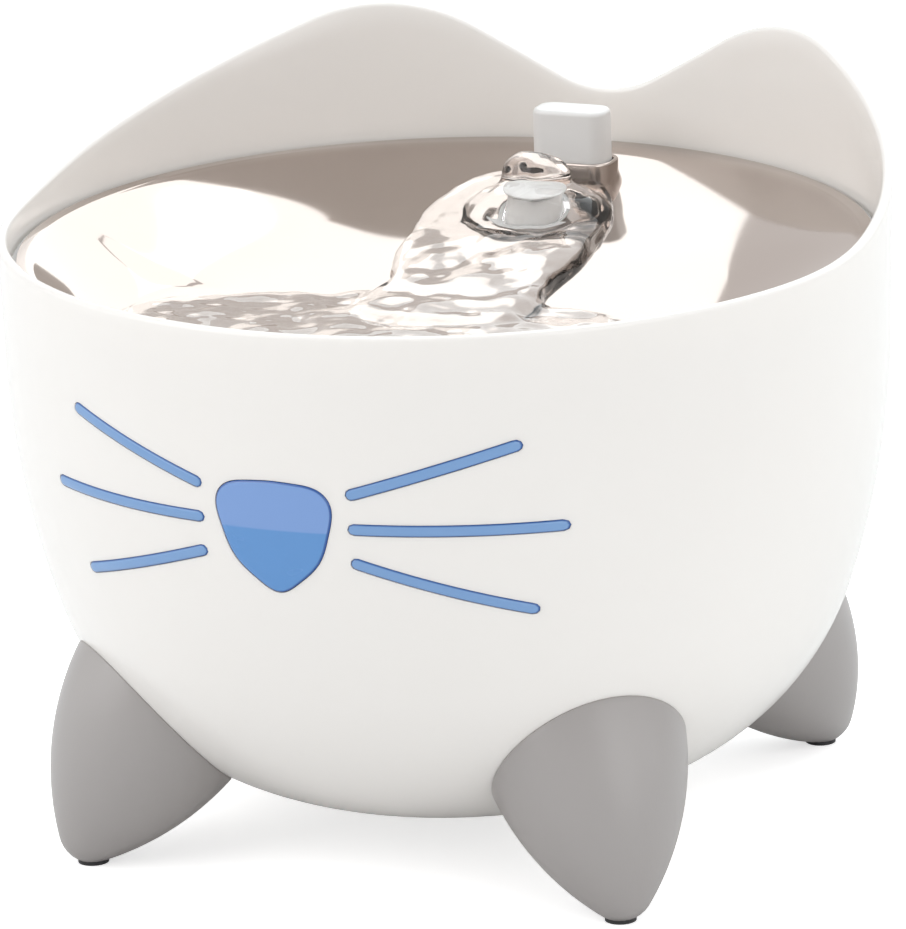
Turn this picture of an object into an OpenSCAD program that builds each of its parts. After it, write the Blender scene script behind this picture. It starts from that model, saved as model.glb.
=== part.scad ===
// Pet water fountain: eared bowl on four cone feet, steel drinking dish, level float,
// submersible pump with magnet impeller, filter cartridge and lit nose lens.
// Millimetres, Z up, origin on the floor under the middle of the bowl, nose towards -Y.

/* [Bowl] */
// Outer radius of the bowl at its waist
bowl_r = 125; // [122:1:132]
// Thickness of the bowl's wall and floor
wall = 3; // [2.4:0.2:3.6]
// Height of the bowl's flat base above the floor
base_z = 17; // [15:0.5:19]
// Radius of the curve between base and flank
knee_r = 81.5; // [78:0.5:84]
// Slope of that curve where it meets the flat base
base_slope = 21; // [18:0.5:24]
// Radius of the flank's long curve
flank_r = 250; // [230:5:280]
// Height at which the side stands upright
waist_z = 145; // [142:1:150]
// How far the rim leans out at the tips of the ears
rim_flare = 2; // [0:0.5:4]
// Height of the rim round the front
rim_z = 173; // [171:1:178]

/* [Ears] */
// Height of the ears' tips
ear_z = 207; // [203:1:212]
// Direction of each ear, measured from the nose
ear_angle = 148; // [144:1:152]
// Radius of an ear's rounded tip
ear_tip_r = 60; // [50:1:66]
// Slope of an ear's long front edge
ear_front_slope = 18; // [16:1:20]
// Slope of an ear's rear edge
ear_rear_slope = 31; // [29:1:34]
// Height of the valley between the ears
valley_z = 181; // [180:1:186]
// Radius that blends an ear into the front rim
ear_blend_r = 60; // [30:5:90]

/* [Feet] */
// How far a foot's tip stands inside the bowl's waist
foot_inset = 12; // [9:0.5:17]
// Direction of the feet, measured from the nose and from the back
foot_angle = 45; // [40:1:50]
// Lean of a foot towards the bowl
foot_lean = 34; // [30:1:38]
// Largest radius of a foot's cone
cone_r = 29.2; // [26:0.2:32]
// Length over which a foot narrows to its tip
cone_length = 62; // [57:1:67]
// Radius of a foot's rounded tip
tip_r = 9.5; // [8:0.5:11]
// Radius of a rubber foot pad
pad_r = 4.4; // [3.5:0.1:5]
// Radius of a foot pad's plug
plug_r = 2.2; // [1.8:0.1:2.6]
// Length of a foot pad's plug
plug_length = 5; // [3:0.5:7]

/* [Face] */
// Height of the nose's broad middle
nose_z = 117; // [114:1:120]
// Scale of the nose lens
nose_scale = 1; // [0.9:0.05:1.1]
// How far lens and whiskers stand proud of the bowl
proud = 0.4; // [0.2:0.1:0.8]
// Width of the flange behind the lens
lens_flange = 3; // [2:0.5:4]
// Thickness of the lens flange
flange_t = 2; // [1.5:0.1:2.5]
// Thickness of the lens seal
lens_seal_t = 1; // [0.8:0.1:1.5]
// Width of a whisker
whisker_w = 3.3; // [2.5:0.1:4]
// Depth of a whisker's recess
whisker_depth = 0.8; // [0.6:0.1:1.2]
// Distance of the whiskers' inner ends from the middle
whisker_x = 22.7; // [21:0.1:25]
// Height of the middle whiskers' inner ends above the nose's middle
whisker_rise = 1.9; // [0:0.1:4]
// Height between neighbouring whiskers at their inner ends
whisker_pitch = 10; // [8:0.5:12]

/* [Nose light] */
// Depth of the light pod behind the bowl's wall
pod_depth = 17; // [15:1:22]
// Wall of the light pod
pod_wall = 1.8; // [1.4:0.1:2.2]
// Thickness of the light's circuit board
board_t = 1.6; // [1:0.2:2]
// Radius of the lamp
lamp_r = 2.5; // [2:0.1:3]

/* [Dish] */
// Gap between the dish's rim and the bowl
dish_gap = 1.5; // [1:0.1:2]
// Height of the dish's rim
dish_z = 166; // [163:0.5:169]
// Thickness of the dish's sheet steel
sheet = 1.2; // [0.8:0.1:1.6]
// Width of the dish's resting flange
flange_w = 2.5; // [2:0.1:3]
// Height of the dish floor in the middle
floor_z = 147.8; // [147:0.1:148.4]
// Tilt of the dish floor towards the pool at the front
floor_tilt = 5; // [4:0.5:6]
// Radius of the curve that the dish floor rises in towards its edge
floor_curve = 110; // [100:5:130]
// Lean of the dish's wall
dish_draft = 35; // [30:1:38]
// Number of return holes in the dish's front wall
return_count = 9; // [5:2:13]
// Angle between neighbouring return holes
return_pitch = 6; // [4:1:8]
// Radius of a return hole
return_r = 2; // [1.5:0.1:2.5]
// Height of the pool, set by the return holes
pool_z = 148.5; // [147.5:0.5:149.5]
// Height of the bowl's ledge under the dish, above its chamfer
ledge_h = 4; // [3:0.5:5]
// Thickness of the seal ring under the dish
seal_t = 1.2; // [0.8:0.1:1.6]

/* [Level float] */
// Distance of the float's middle inside the bowl's waist
float_inset = 28; // [26:0.5:30]
// Width of the white float block
block_w = 22.6; // [20:0.2:25]
// Depth of the float block
block_d = 12; // [10:0.5:13]
// Corner radius of the float block
block_corner = 4.5; // [3:0.5:4.9]
// Height of the float block's top when the bowl is full
block_top = 181.6; // [179:0.2:184]
// Height of the guide sleeve's top
guide_top = 166.7; // [166:0.1:168]
// Length of the guide sleeve
guide_h = 18; // [16:1:20]
// Wall of the guide sleeve
guide_wall = 1.4; // [1.2:0.1:1.8]
// Clearance of the float block in its sleeve
float_fit = 0.4; // [0.3:0.05:0.6]
// Width of the hollow float
float_w = 42; // [36:1:46]
// Depth of the hollow float
float_d = 24; // [22:1:26]
// Height of the hollow float
float_h = 24; // [20:1:28]
// Depth of the block's pocket in the float
pocket_h = 8; // [6:0.5:10]

/* [Nozzle and riser] */
// Inner radius of the riser tube
riser_bore = 4.5; // [4:0.1:5]
// Wall of the riser tube
riser_wall = 1.5; // [1.2:0.1:2]
// Height of the riser tube's top
riser_top = 151.4; // [148:0.2:153]
// Wall of the nozzle's socket
socket_wall = 1; // [0.8:0.1:1.2]
// Depth of the nozzle's socket over the riser
socket_h = 13; // [10:1:15]
// Height of the nozzle's mouth
mouth_z = 161.4; // [161:0.2:163]
// Radius of the nozzle's spread cap
cap_r = 9; // [8:0.5:10]
// Height of the gap under the spread cap
cap_gap = 1.4; // [1:0.1:2]
// Thickness of the spread cap's edge
cap_t = 1.2; // [0.8:0.1:1.6]
// Rise of the spread cap's dome
cap_dome = 1.4; // [1:0.1:2]
// Width of the lips on the nozzle gasket and the float guide
lip_w = 2; // [1.5:0.1:2.5]
// Thickness of those lips
lip_t = 1; // [0.8:0.1:1.4]

/* [Pump] */
// Height of the impeller's axis
axis_z = 46; // [45:0.5:48]
// Width of the pump's motor block
motor_w = 38; // [36:1:40]
// Length of the motor block
motor_l = 34; // [32:1:36]
// Height of the motor block
motor_h = 36; // [34:1:37]
// Outer radius of the impeller chamber
volute_r = 18.5; // [17.5:0.5:19]
// Length of the impeller chamber
volute_l = 14; // [13:0.5:15]
// Wall of the impeller chamber
volute_wall = 3.5; // [3:0.1:4]
// Thickness of the pump's cover
cover_t = 3; // [2.5:0.1:3.5]
// Number of slots in the pump cover
cover_slots = 8; // [6:1:10]
// Radius of the impeller
impeller_r = 12.5; // [11:0.5:13.5]
// Number of impeller blades
blades = 6; // [4:1:8]
// Thickness of a blade
blade_t = 1.4; // [1:0.1:2]
// Radius of the rotor magnet
magnet_r = 6.8; // [6:0.1:7.5]
// Length of the rotor magnet
magnet_l = 24; // [20:1:25]
// Radius of the ceramic shaft
shaft_r = 1.2; // [1:0.1:1.5]
// Running clearance of the impeller on its shaft
run_fit = 0.05; // [0.02:0.01:0.1]
// Clearance round the rotor
rotor_gap = 0.8; // [0.6:0.1:1.2]
// Radius of a suction cup
cup_r = 7; // [6:0.5:7.5]
// Distance of the cups' middles from the motor block's sides
cup_inset = 6; // [5:0.5:8]
// Gap between the rear cups and the curve round the bowl's floor
cup_gap = 1.4; // [1:0.1:4]

/* [Pump chamber and filter] */
// Width of the pump chamber
chamber_w = 62; // [58:1:66]
// Height of the chamber's roof above the floor
chamber_top = 74; // [71:1:78]
// Wall of the chamber
chamber_wall = 2; // [1.6:0.1:2.4]
// Width of the filter cartridge
filter_w = 52; // [48:1:53]
// Height of the filter cartridge
filter_h = 50; // [46:1:52]
// Thickness of the filter cartridge
filter_t = 7.6; // [6:0.2:9]
// Width of the cartridge's frame
filter_rim = 4; // [3:0.5:5]
// Sliding clearance of the cartridge in its rails
slide_fit = 0.4; // [0.3:0.05:0.6]

/* [Power inlet] */
// Radius of the socket for the lead's plug
socket_r = 2.8; // [2.5:0.1:3.2]
// Depth of that socket
socket_l = 9; // [8:0.5:11]
// Width of the inlet housing
inlet_w = 18; // [16:1:22]
// Height of the inlet housing
inlet_h = 11; // [9:0.5:12]
// Radius of the power post
post_r = 4; // [3.5:0.1:4.5]
// Thickness of the seal round the power post
post_seal_t = 1; // [0.8:0.1:1.4]

/* [Hidden] */
$fn = 72;

white = "#f3f0ec";
grey = "#a39c98";
blue = "#5b93dc";
steel = "#bdb6ae";
dark = "#3a3a3c";

// The bowl's side: two arcs that meet smoothly, then a straight rim
knee_c = base_z + knee_r * cos(base_slope);
turn = asin((waist_z - knee_c) / (flank_r - knee_r));
flank_x = bowl_r - flank_r;
knee_x = flank_x + (flank_r - knee_r) * cos(turn);
knee_z = waist_z - flank_r * sin(turn);
inside_z = base_z + wall;
floor_r = side_r(inside_z, wall);
over = 1;
ceiling = ear_z + 8;
wide = 1.5 * bowl_r;

// Clearances of pieces that stay together, and places that follow from the sizes above
seat = 0.3;
inlay_fit = 0.1;
lens_fit = 0.15;
board_fit = 0.2;
inner_r = bowl_r - wall;
foot_r = bowl_r - foot_inset;
float_y = bowl_r - float_inset;
dish_r = inner_r - dish_gap;
dish_wall_r = dish_r - flange_w;
ledge_z = dish_z - sheet - seal_t;
ledge_r = dish_wall_r + seat;
guide_bottom = guide_top - guide_h;
float_top = guide_bottom - seat;
riser_r = riser_bore + riser_wall;
socket_outer = riser_r + seat + socket_wall;
gasket_wall = 0.8;
gasket_bite = 1.2;
gasket_r = socket_outer + gasket_wall;
hole_r = gasket_r + gasket_bite;
cup_x = motor_w / 2 - cup_inset;
cup_step = motor_l / 2 - cup_inset;
motor_mid = sqrt(pow(floor_r - cup_gap - cup_r, 2) - pow(cup_x, 2)) - cup_step;
motor_y = motor_mid - motor_l / 2;
volute_y = motor_y + motor_l;
nozzle_y = volute_y + volute_l / 2;
floor_flat = nozzle_y / cos(floor_tilt) + hole_r + lip_w + over;
cover_y = volute_y + volute_l;
motor_z = axis_z - motor_h / 2;
spigot_z = axis_z + volute_r + 2;
spigot_h = 8;
spigot_wall = 1.2;
motor_corner = 4;
bush_r = shaft_r + 1.4;
bush_l = 4;
cover_bush_l = 2;
hub_r = shaft_r + 2;
hub_gap = 1;
disc_t = 1.2;
blade_root = 0.5;
cup_plug_r = 2;
cup_plug = 3;
slot_w = 2.4;
bore_end = 4;
bore_y = motor_y + bush_l + bore_end;
magnet_y = volute_y - magnet_l;
front_space = 10;
back_space = 4;
chamber_y = motor_y - front_space;
chamber_back = cover_y + cover_t + back_space;
filter_y = chamber_y - slide_fit - filter_t;
filter_z = inside_z + seat + slide_fit;
post_top = motor_z + 4;
window_w = filter_w - 2 * filter_rim;
window_h = filter_h - 2 * filter_rim;
return_run = 20;
rail_w = 3;
rail_lip = 2;
face_half = 40;
face_depth = 30;
whisker_ends = [[64.5, 24.8], [74.2, 1.1], [65.3, -22.7]];
nose_circles = [[10.4, 6.9, 7], [2.6, 0, 12], [0, -15.1, 3.5], [0, -0.3, 15]];

function arc(x, y, r, from, to, n) =
    [for (i = [0:n]) let (a = from + (to - from) * i / n) [x + r * cos(a), y + r * sin(a)]];
function tail(list) = [for (i = [1:len(list) - 1]) list[i]];
function lip_r(z) = bowl_r + rim_flare * (z - waist_z) / (ear_z - waist_z);
function side_r(z, t) = z > waist_z ? lip_r(z) - t
    : z > knee_z ? flank_x + sqrt(pow(flank_r - t, 2) - pow(waist_z - z, 2))
    : knee_x + sqrt(pow(knee_r - t, 2) - pow(knee_c - z, 2));

// Solid inside the bowl's outer surface moved in by t, from a floor height to a top height
module bowl_form(t, from, to) {
    start = -asin((knee_c - from) / (knee_r - t));
    rotate_extrude()
        polygon(concat([[0, from]], arc(knee_x, knee_c, knee_r - t, start, -turn, 9),
            tail(arc(flank_x, waist_z, flank_r - t, -turn, 0, 7)), [[lip_r(to) - t, to], [0, to]]));
}

// Layer of the bowl's side between two depths under its outer surface
module skin(near, far, from, to) {
    difference() {
        bowl_form(near, from, to);
        bowl_form(far, from - over, to + over);
    }
}

// Ear outline in its own upright plane: front rim, blend, long edge, tip, rear edge, valley
module ear_outline() {
    f = ear_front_slope;
    g = ear_rear_slope;
    tip_c = ear_z - ear_tip_r;
    front_x = -ear_tip_r * sin(f);
    foot_x = front_x - (tip_c + ear_tip_r * cos(f) - rim_z) / tan(f);
    blend_x = foot_x - ear_blend_r * tan(f / 2);
    valley_x = lip_r(valley_z) * sin(180 - ear_angle);
    low = tip_c + ear_tip_r * cos(g) - tan(g) * (valley_x - ear_tip_r * sin(g));
    valley_r = (valley_z - low) * cos(g) / (1 - cos(g));
    reach = 2 * bowl_r;
    polygon(concat([[-reach, 0], [-reach, rim_z]],
        arc(blend_x, rim_z + ear_blend_r, ear_blend_r, -90, -90 + f, 3),
        arc(0, tip_c, ear_tip_r, 90 + f, 90 - g, 10),
        arc(valley_x, valley_z + valley_r, valley_r, -90 - g, -90, 6),
        [[reach, valley_z], [reach, 0]]));
}

module ear_block() {
    intersection() {
        rotate([0, 0, ear_angle])
            rotate([90, 0, 0])
                linear_extrude(wide)
                    ear_outline();
        translate([0, -bowl_r, 0])
            cube([wide, 2 * wide, ceiling + over]);
    }
}

module rim_form() {
    cylinder(r = wide, h = rim_z);
    ear_block();
    mirror([1, 0, 0])
        ear_block();
}

// Things that face the nose: a flat outline pushed back through the front of the bowl
module from_front(near_y, far_y) {
    translate([0, -near_y, 0])
        rotate([90, 0, 0])
            linear_extrude(far_y - near_y)
                children();
}

module nose_outline(grow) {
    translate([0, nose_z])
        hull()
            for (c = nose_circles, side = [-1, 1])
                translate([side * c[0], c[1]] * nose_scale)
                    circle(c[2] * nose_scale + grow, $fn = 32);
}

module bar2d(a, b, w) {
    d = b - a;
    translate(a)
        rotate(atan2(d[1], d[0])) {
            translate([0, -w / 2])
                square([norm(d), w]);
            circle(d = w);
            translate([norm(d), 0])
                circle(d = w);
        }
}

module whisker_outlines(grow) {
    for (i = [0:2])
        let (start = [whisker_x, nose_z + whisker_rise + (1 - i) * whisker_pitch])
            bar2d(start, [whisker_ends[i][0], nose_z + whisker_ends[i][1]], whisker_w + 2 * grow);
}

module whiskers(grow, near, far) {
    intersection() {
        from_front(bowl_r / 2, wide)
            whisker_outlines(grow);
        skin(near, far, nose_z - face_half, nose_z + face_half);
    }
}

// The nose's outline pushed through the bowl's front wall
module nose_block(grow) {
    from_front(bowl_r - face_depth, bowl_r + over)
        nose_outline(grow);
}

// Rounded rectangle in the plane, with true round corners
module rounded(w, d, r) {
    square([w - 2 * r, d], center = true);
    square([w, d - 2 * r], center = true);
    for (x = [-1, 1], y = [-1, 1])
        translate([x * (w / 2 - r), y * (d / 2 - r)])
            circle(r);
}

module at_float(z) {
    translate([0, float_y, z])
        children();
}

// Cylinder along the pump's axis
module along(y, r, l) {
    translate([0, y, axis_z])
        rotate([-90, 0, 0])
            cylinder(r = r, h = l);
}

module bowl() {
    color(white)
        difference() {
            intersection() {
                union() {
                    difference() {
                        bowl_form(0, base_z, ceiling);
                        bowl_form(wall, inside_z, ceiling + over);
                    }
                    ledge();
                }
                rim_form();
            }
            nose_block(lens_fit);
            for (side = [0, 1])
                mirror([side, 0, 0])
                    whiskers(inlay_fit, -over, whisker_depth);
            translate([0, motor_mid, base_z - over])
                cylinder(r = post_r + post_seal_t, h = wall + 2 * over);
        }
}

// Step inside the bowl that carries the seal ring and the dish
module ledge() {
    step = inner_r - ledge_r + wall / 2;
    rotate_extrude()
        polygon([[ledge_r, ledge_z], [ledge_r + step, ledge_z],
            [ledge_r + step, ledge_z - ledge_h - step], [ledge_r, ledge_z - ledge_h]]);
}

// A foot: pointed cone with bowed sides, cut to the bowl's surface
module foot(angle) {
    bow_r = (pow(cone_length, 2) + pow(cone_r, 2)) / (2 * cone_r);
    start = asin((cone_length - tip_height(bow_r)) / (bow_r - tip_r));
    neck = 15; // degrees that the side goes on past its widest
    color(grey)
        difference() {
            rotate([0, 0, angle])
                translate([0, -foot_r, tip_r])
                    rotate([-foot_lean, 0, 0])
                        translate([0, 0, -tip_height(bow_r)])
                            rotate_extrude()
                                polygon(concat(
                                    arc(0, tip_height(bow_r), tip_r, -90, -start, 6),
                                    tail(arc(cone_r - bow_r, cone_length, bow_r, -start, neck, 12)),
                                    [[0, cone_length + bow_r * sin(neck)]]));
            bowl_form(0, base_z, ceiling);
            rotate([0, 0, angle])
                translate([0, -foot_r, 0])
                    pad_form(over);
        }
}

function tip_height(bow_r) =
    cone_length - sqrt(pow(bow_r - tip_r, 2) - pow(bow_r - cone_r, 2));

// Pad under a foot's tip: a flat button with a plug that holds it in the foot.
// As the foot's pocket it also clears the rounded tip below and round the button.
module pad_form(clear) {
    pad_t = tip_r - sqrt(pow(tip_r, 2) - pow(pad_r, 2));
    translate([0, 0, -clear])
        cylinder(r = pad_r + clear, h = pad_t + clear);
    cylinder(r = plug_r, h = pad_t + plug_length);
}

module foot_pads() {
    color(dark)
        for (angle = [-foot_angle, foot_angle, 180 - foot_angle, 180 + foot_angle])
            rotate([0, 0, angle])
                translate([0, -foot_r, 0])
                    pad_form(0);
}

module nose_lens() {
    color(blue) {
        intersection() {
            nose_block(0);
            skin(-proud, wall + lens_seal_t + flange_t, nose_z - face_half, nose_z + face_half);
        }
        intersection() {
            nose_block(lens_flange);
            skin(wall + lens_seal_t, wall + lens_seal_t + flange_t,
                nose_z - face_half, nose_z + face_half);
        }
    }
}

module nose_seal() {
    color(dark)
        intersection() {
            from_front(bowl_r - face_depth, bowl_r + over)
                difference() {
                    nose_outline(lens_flange);
                    nose_outline(0);
                }
            skin(wall, wall + lens_seal_t, nose_z - face_half, nose_z + face_half);
        }
}

// Closed pod behind the lens that keeps its lamp dry
module light_pod() {
    back_y = inner_r - pod_depth;
    color(white)
        difference() {
            intersection() {
                from_front(back_y, bowl_r)
                    nose_outline(lens_flange + board_fit + pod_wall);
                bowl_form(wall, nose_z - face_half, nose_z + face_half);
            }
            from_front(back_y + pod_wall, bowl_r + over)
                nose_outline(lens_flange + board_fit);
        }
}

module light_board() {
    back_y = inner_r - pod_depth + pod_wall;
    color("darkgreen")
        from_front(back_y, back_y + board_t)
            nose_outline(lens_flange);
}

module light_lamp() {
    back_y = inner_r - pod_depth + pod_wall + board_t;
    stem = 1.2 * lamp_r;
    color("white")
        translate([0, -back_y, nose_z])
            rotate([90, 0, 0]) {
                cylinder(r = 1.25 * lamp_r, h = stem / 3);
                cylinder(r = lamp_r, h = stem);
                translate([0, 0, stem])
                    sphere(lamp_r);
            }
}

module whisker_set(side) {
    color(blue)
        mirror([side, 0, 0])
            whiskers(0, -proud, whisker_depth);
}

module dish_seal() {
    color(dark)
        translate([0, 0, ledge_z])
            difference() {
                cylinder(r = inner_r - inlay_fit, h = seal_t);
                translate([0, 0, -over])
                    cylinder(r = ledge_r + inlay_fit, h = seal_t + 2 * over);
            }
}

// Everything above the dish's tilted floor, which is flat in the middle and rises towards its edge
module above_floor(drop) {
    rise = asin((bowl_r - floor_flat) / floor_curve);
    translate([0, 0, floor_z])
        rotate([floor_tilt, 0, 0])
            translate([0, 0, -drop])
                rotate_extrude()
                    polygon(concat([[0, bowl_r], [0, 0]],
                        arc(floor_flat, floor_curve, floor_curve, -90, rise - 90, 10), [[bowl_r, bowl_r]]));
}

// Cone of the dish's wall, moved in by t
module dish_cone(t, top) {
    depth = dish_z - floor_z + bowl_r * sin(floor_tilt) + 2 * sheet;
    slope = tan(dish_draft);
    r = dish_wall_r - t / cos(dish_draft);
    translate([0, 0, dish_z - depth])
        cylinder(r1 = r - depth * slope, r2 = r + (top - dish_z) * slope, h = depth + top - dish_z);
}

module dish() {
    color(steel)
        difference() {
            union() {
                intersection() {
                    dish_cone(0, dish_z);
                    above_floor(sheet);
                }
                translate([0, 0, dish_z - sheet])
                    difference() {
                        cylinder(r = dish_r, h = sheet);
                        translate([0, 0, -over])
                            cylinder(r = dish_wall_r - sheet, h = sheet + 2 * over);
                    }
            }
            intersection() {
                dish_cone(sheet, dish_z + over);
                above_floor(0);
            }
            at_nozzle_seat()
                translate([0, 0, -lip_t - sheet])
                    cylinder(r = hole_r, h = 2 * lip_t + sheet);
            at_float(guide_bottom)
                linear_extrude(guide_h)
                    rounded(block_w + 2 * (float_fit + guide_wall), block_d + 2 * (float_fit + guide_wall),
                        block_corner + float_fit + guide_wall);
            for (i = [0:return_count - 1])
                rotate([0, 0, (i - (return_count - 1) / 2) * return_pitch])
                    translate([0, return_run - dish_r, pool_z + return_r])
                        rotate([90, 0, 0])
                            cylinder(r = return_r, h = dish_r);
        }
}

// Sleeve in the dish that the float block slides in, with a lip under the dish's floor
module float_guide() {
    grow = float_fit + guide_wall;
    color(steel)
        difference() {
            union() {
                at_float(guide_bottom)
                    linear_extrude(guide_h)
                        rounded(block_w + 2 * grow, block_d + 2 * grow, block_corner + grow);
                difference() {
                    intersection() {
                        at_float(guide_bottom)
                            linear_extrude(guide_h)
                                rounded(block_w + 2 * (grow + lip_w), block_d + 2 * (grow + lip_w),
                                    block_corner + grow + lip_w);
                        above_floor(sheet + lip_t);
                    }
                    above_floor(sheet);
                }
            }
            at_float(guide_bottom - over)
                linear_extrude(guide_h + 2 * over)
                    rounded(block_w + 2 * float_fit, block_d + 2 * float_fit, block_corner + float_fit);
        }
}

module float_block() {
    color(white)
        at_float(float_top - pocket_h)
            linear_extrude(block_top - float_top + pocket_h)
                rounded(block_w, block_d, block_corner);
}

module float_body() {
    color(white)
        difference() {
            at_float(float_top - float_h)
                linear_extrude(float_h)
                    rounded(float_w, float_d, block_corner + 2);
            at_float(float_top - pocket_h)
                linear_extrude(pocket_h + over)
                    rounded(block_w, block_d, block_corner);
        }
}

module at_nozzle_seat() {
    translate([0, nozzle_y, floor_z + nozzle_y * tan(floor_tilt)])
        rotate([floor_tilt, 0, 0])
            children();
}

// Grommet that seals the nozzle in the dish's floor
module nozzle_gasket() {
    color(dark)
        at_nozzle_seat()
            rotate_extrude()
                polygon([[gasket_r, lip_t], [hole_r + lip_w, lip_t], [hole_r + lip_w, 0], [hole_r, 0],
                    [hole_r, -sheet], [hole_r + lip_w, -sheet], [hole_r + lip_w, -sheet - lip_t],
                    [gasket_r, -sheet - lip_t]]);
}

// Nozzle: a socket over the riser, then a narrower throat to the mouth
module nozzle_tube() {
    shoulder_z = riser_top + seat;
    color(white)
        translate([0, nozzle_y, 0])
            difference() {
                translate([0, 0, shoulder_z - socket_h])
                    cylinder(r = socket_outer, h = mouth_z - shoulder_z + socket_h);
                translate([0, 0, shoulder_z - socket_h - over])
                    cylinder(r = riser_r + seat, h = socket_h + over);
                translate([0, 0, shoulder_z - over])
                    cylinder(r = riser_bore, h = mouth_z - shoulder_z + 2 * over);
            }
}

// Domed cap on three legs that spreads the water to all sides
module nozzle_cap() {
    leg_r = (socket_outer - riser_bore) / 2 - inlay_fit;
    dome_r = (pow(cap_r, 2) + pow(cap_dome, 2)) / (2 * cap_dome);
    edge_z = mouth_z + cap_gap + cap_t;
    color(white)
        translate([0, nozzle_y, 0]) {
            for (i = [0:2])
                rotate([0, 0, 120 * i + 30])
                    translate([(socket_outer + riser_bore) / 2, 0, mouth_z])
                        cylinder(r = leg_r, h = cap_gap + cap_t / 2);
            translate([0, 0, edge_z])
                rotate_extrude()
                    polygon(concat([[0, -cap_t], [cap_r, -cap_t]],
                        arc(0, cap_dome - dome_r, dome_r, acos(cap_r / dome_r), 90, 6)));
        }
}

module riser_tube() {
    color(white)
        translate([0, nozzle_y, spigot_z])
            difference() {
                cylinder(r = riser_r, h = riser_top - spigot_z);
                translate([0, 0, -over])
                    cylinder(r = riser_bore, h = riser_top - spigot_z + 2 * over);
            }
}

module pump_housing() {
    neck_r = riser_bore - run_fit;
    color(dark)
        difference() {
            union() {
                translate([0, motor_y, axis_z])
                    rotate([-90, 0, 0])
                        linear_extrude(motor_l)
                            rounded(motor_w, motor_h, motor_corner);
                along(volute_y, volute_r, volute_l);
                translate([0, nozzle_y, axis_z]) {
                    cylinder(r = riser_r, h = spigot_z - axis_z);
                    cylinder(r = neck_r, h = spigot_z - axis_z + spigot_h);
                }
            }
            along(volute_y + over, volute_r - volute_wall, volute_l);
            along(bore_y, magnet_r + rotor_gap, volute_y + 2 * over - bore_y);
            along(bore_y - bush_l, bush_r, bush_l + over);
            translate([0, nozzle_y, axis_z + impeller_r])
                cylinder(r = neck_r - spigot_wall, h = bowl_r);
            translate([0, motor_mid, motor_z - over])
                cylinder(r = post_r + run_fit, h = post_top - motor_z + over);
            at_cups(motor_z - over)
                cylinder(r = cup_plug_r, h = cup_plug + over);
        }
}

module at_cups(z) {
    for (x = [-1, 1], y = [-1, 1])
        translate([x * cup_x, motor_mid + y * cup_step, z])
            children();
}

// Four rubber cups that hold the pump to the bowl's floor
module suction_cups() {
    gap = motor_z - inside_z;
    neck_r = cup_plug_r + 1;
    color(dark)
        at_cups(inside_z)
            rotate_extrude()
                polygon([[0, gap / 3], [0.7 * cup_r, gap / 6], [0.9 * cup_r, 0], [cup_r, 0],
                    [0.9 * cup_r, gap / 4], [neck_r, gap / 2], [neck_r, gap], [cup_plug_r, gap],
                    [cup_plug_r, gap + cup_plug], [0, gap + cup_plug]]);
}

module pump_cover() {
    slot_start = bush_r + 2.2;
    slot_end = volute_r - volute_wall - 2;
    color(dark)
        difference() {
            along(cover_y, volute_r, cover_t);
            along(cover_y - over, bush_r, cover_bush_l + over);
            translate([0, cover_y + cover_t + over, axis_z])
                rotate([90, 0, 0])
                    linear_extrude(cover_t + 2 * over)
                        for (i = [0:cover_slots - 1])
                            rotate(i * 360 / cover_slots)
                                translate([slot_start, -slot_w / 2])
                                    square([slot_end - slot_start, slot_w]);
        }
}

module pump_shaft() {
    color("ivory")
        along(bore_y - bush_l, shaft_r, cover_y + cover_bush_l - bore_y + bush_l);
}

module shaft_bushes() {
    color("saddlebrown")
        for (span = [[bore_y - bush_l, bush_l], [cover_y, cover_bush_l]])
            difference() {
                along(span[0], bush_r, span[1]);
                along(span[0] - over, shaft_r, span[1] + 2 * over);
            }
}

// Magnet rotor and blades turn together on the fixed shaft
module impeller() {
    color("lightsteelblue")
        difference() {
            union() {
                along(volute_y, hub_r, volute_l - hub_gap);
                along(volute_y + 2 * over, impeller_r, disc_t);
                for (i = [0:blades - 1])
                    translate([0, volute_y + 2 * over, axis_z])
                        rotate([0, i * 360 / blades, 0])
                            translate([hub_r - blade_root, 0, -blade_t / 2])
                                cube([impeller_r - hub_r, volute_l - 4 * over, blade_t]);
            }
            along(volute_y - over, shaft_r + run_fit, volute_l + 2 * over);
        }
}

module rotor_magnet() {
    color(dark)
        difference() {
            along(magnet_y, magnet_r, magnet_l);
            along(magnet_y - over, shaft_r + run_fit, magnet_l + 2 * over);
        }
}

// Cover over the pump, fitted to the bowl's curve, with rails for the filter
module pump_chamber() {
    depth = chamber_back - chamber_y;
    mid_y = (chamber_back + chamber_y) / 2;
    rail_x = filter_w / 2 + slide_fit;
    color(white)
        difference() {
            intersection() {
                union() {
                    translate([0, mid_y, inside_z])
                        linear_extrude(chamber_top - inside_z)
                            rounded(chamber_w, depth, 5);
                    for (side = [0, 1])
                        mirror([side, 0, 0])
                            rail(rail_x);
                }
                bowl_form(wall + seat, inside_z, ceiling);
            }
            translate([0, mid_y, inside_z - over])
                linear_extrude(chamber_top - chamber_wall - inside_z + over)
                    rounded(chamber_w - 2 * chamber_wall, depth - 2 * chamber_wall, 5 - chamber_wall);
            translate([-window_w / 2, chamber_y - over, filter_z + filter_rim])
                cube([window_w, chamber_wall + 2 * over, window_h]);
            translate([0, nozzle_y, chamber_top - chamber_wall - over])
                cylinder(r = riser_r + seat, h = chamber_wall + 2 * over);
        }
}

// L-shaped rail that holds one side of the filter cartridge
module rail(x) {
    h = chamber_top - inside_z;
    lip_y = filter_y - slide_fit - chamber_wall;
    translate([x, lip_y, inside_z])
        cube([rail_w, chamber_y - lip_y + 2 * rail_w, h]);
    translate([x - rail_lip, lip_y, inside_z])
        cube([rail_lip + rail_w, chamber_wall, h]);
}

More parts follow.
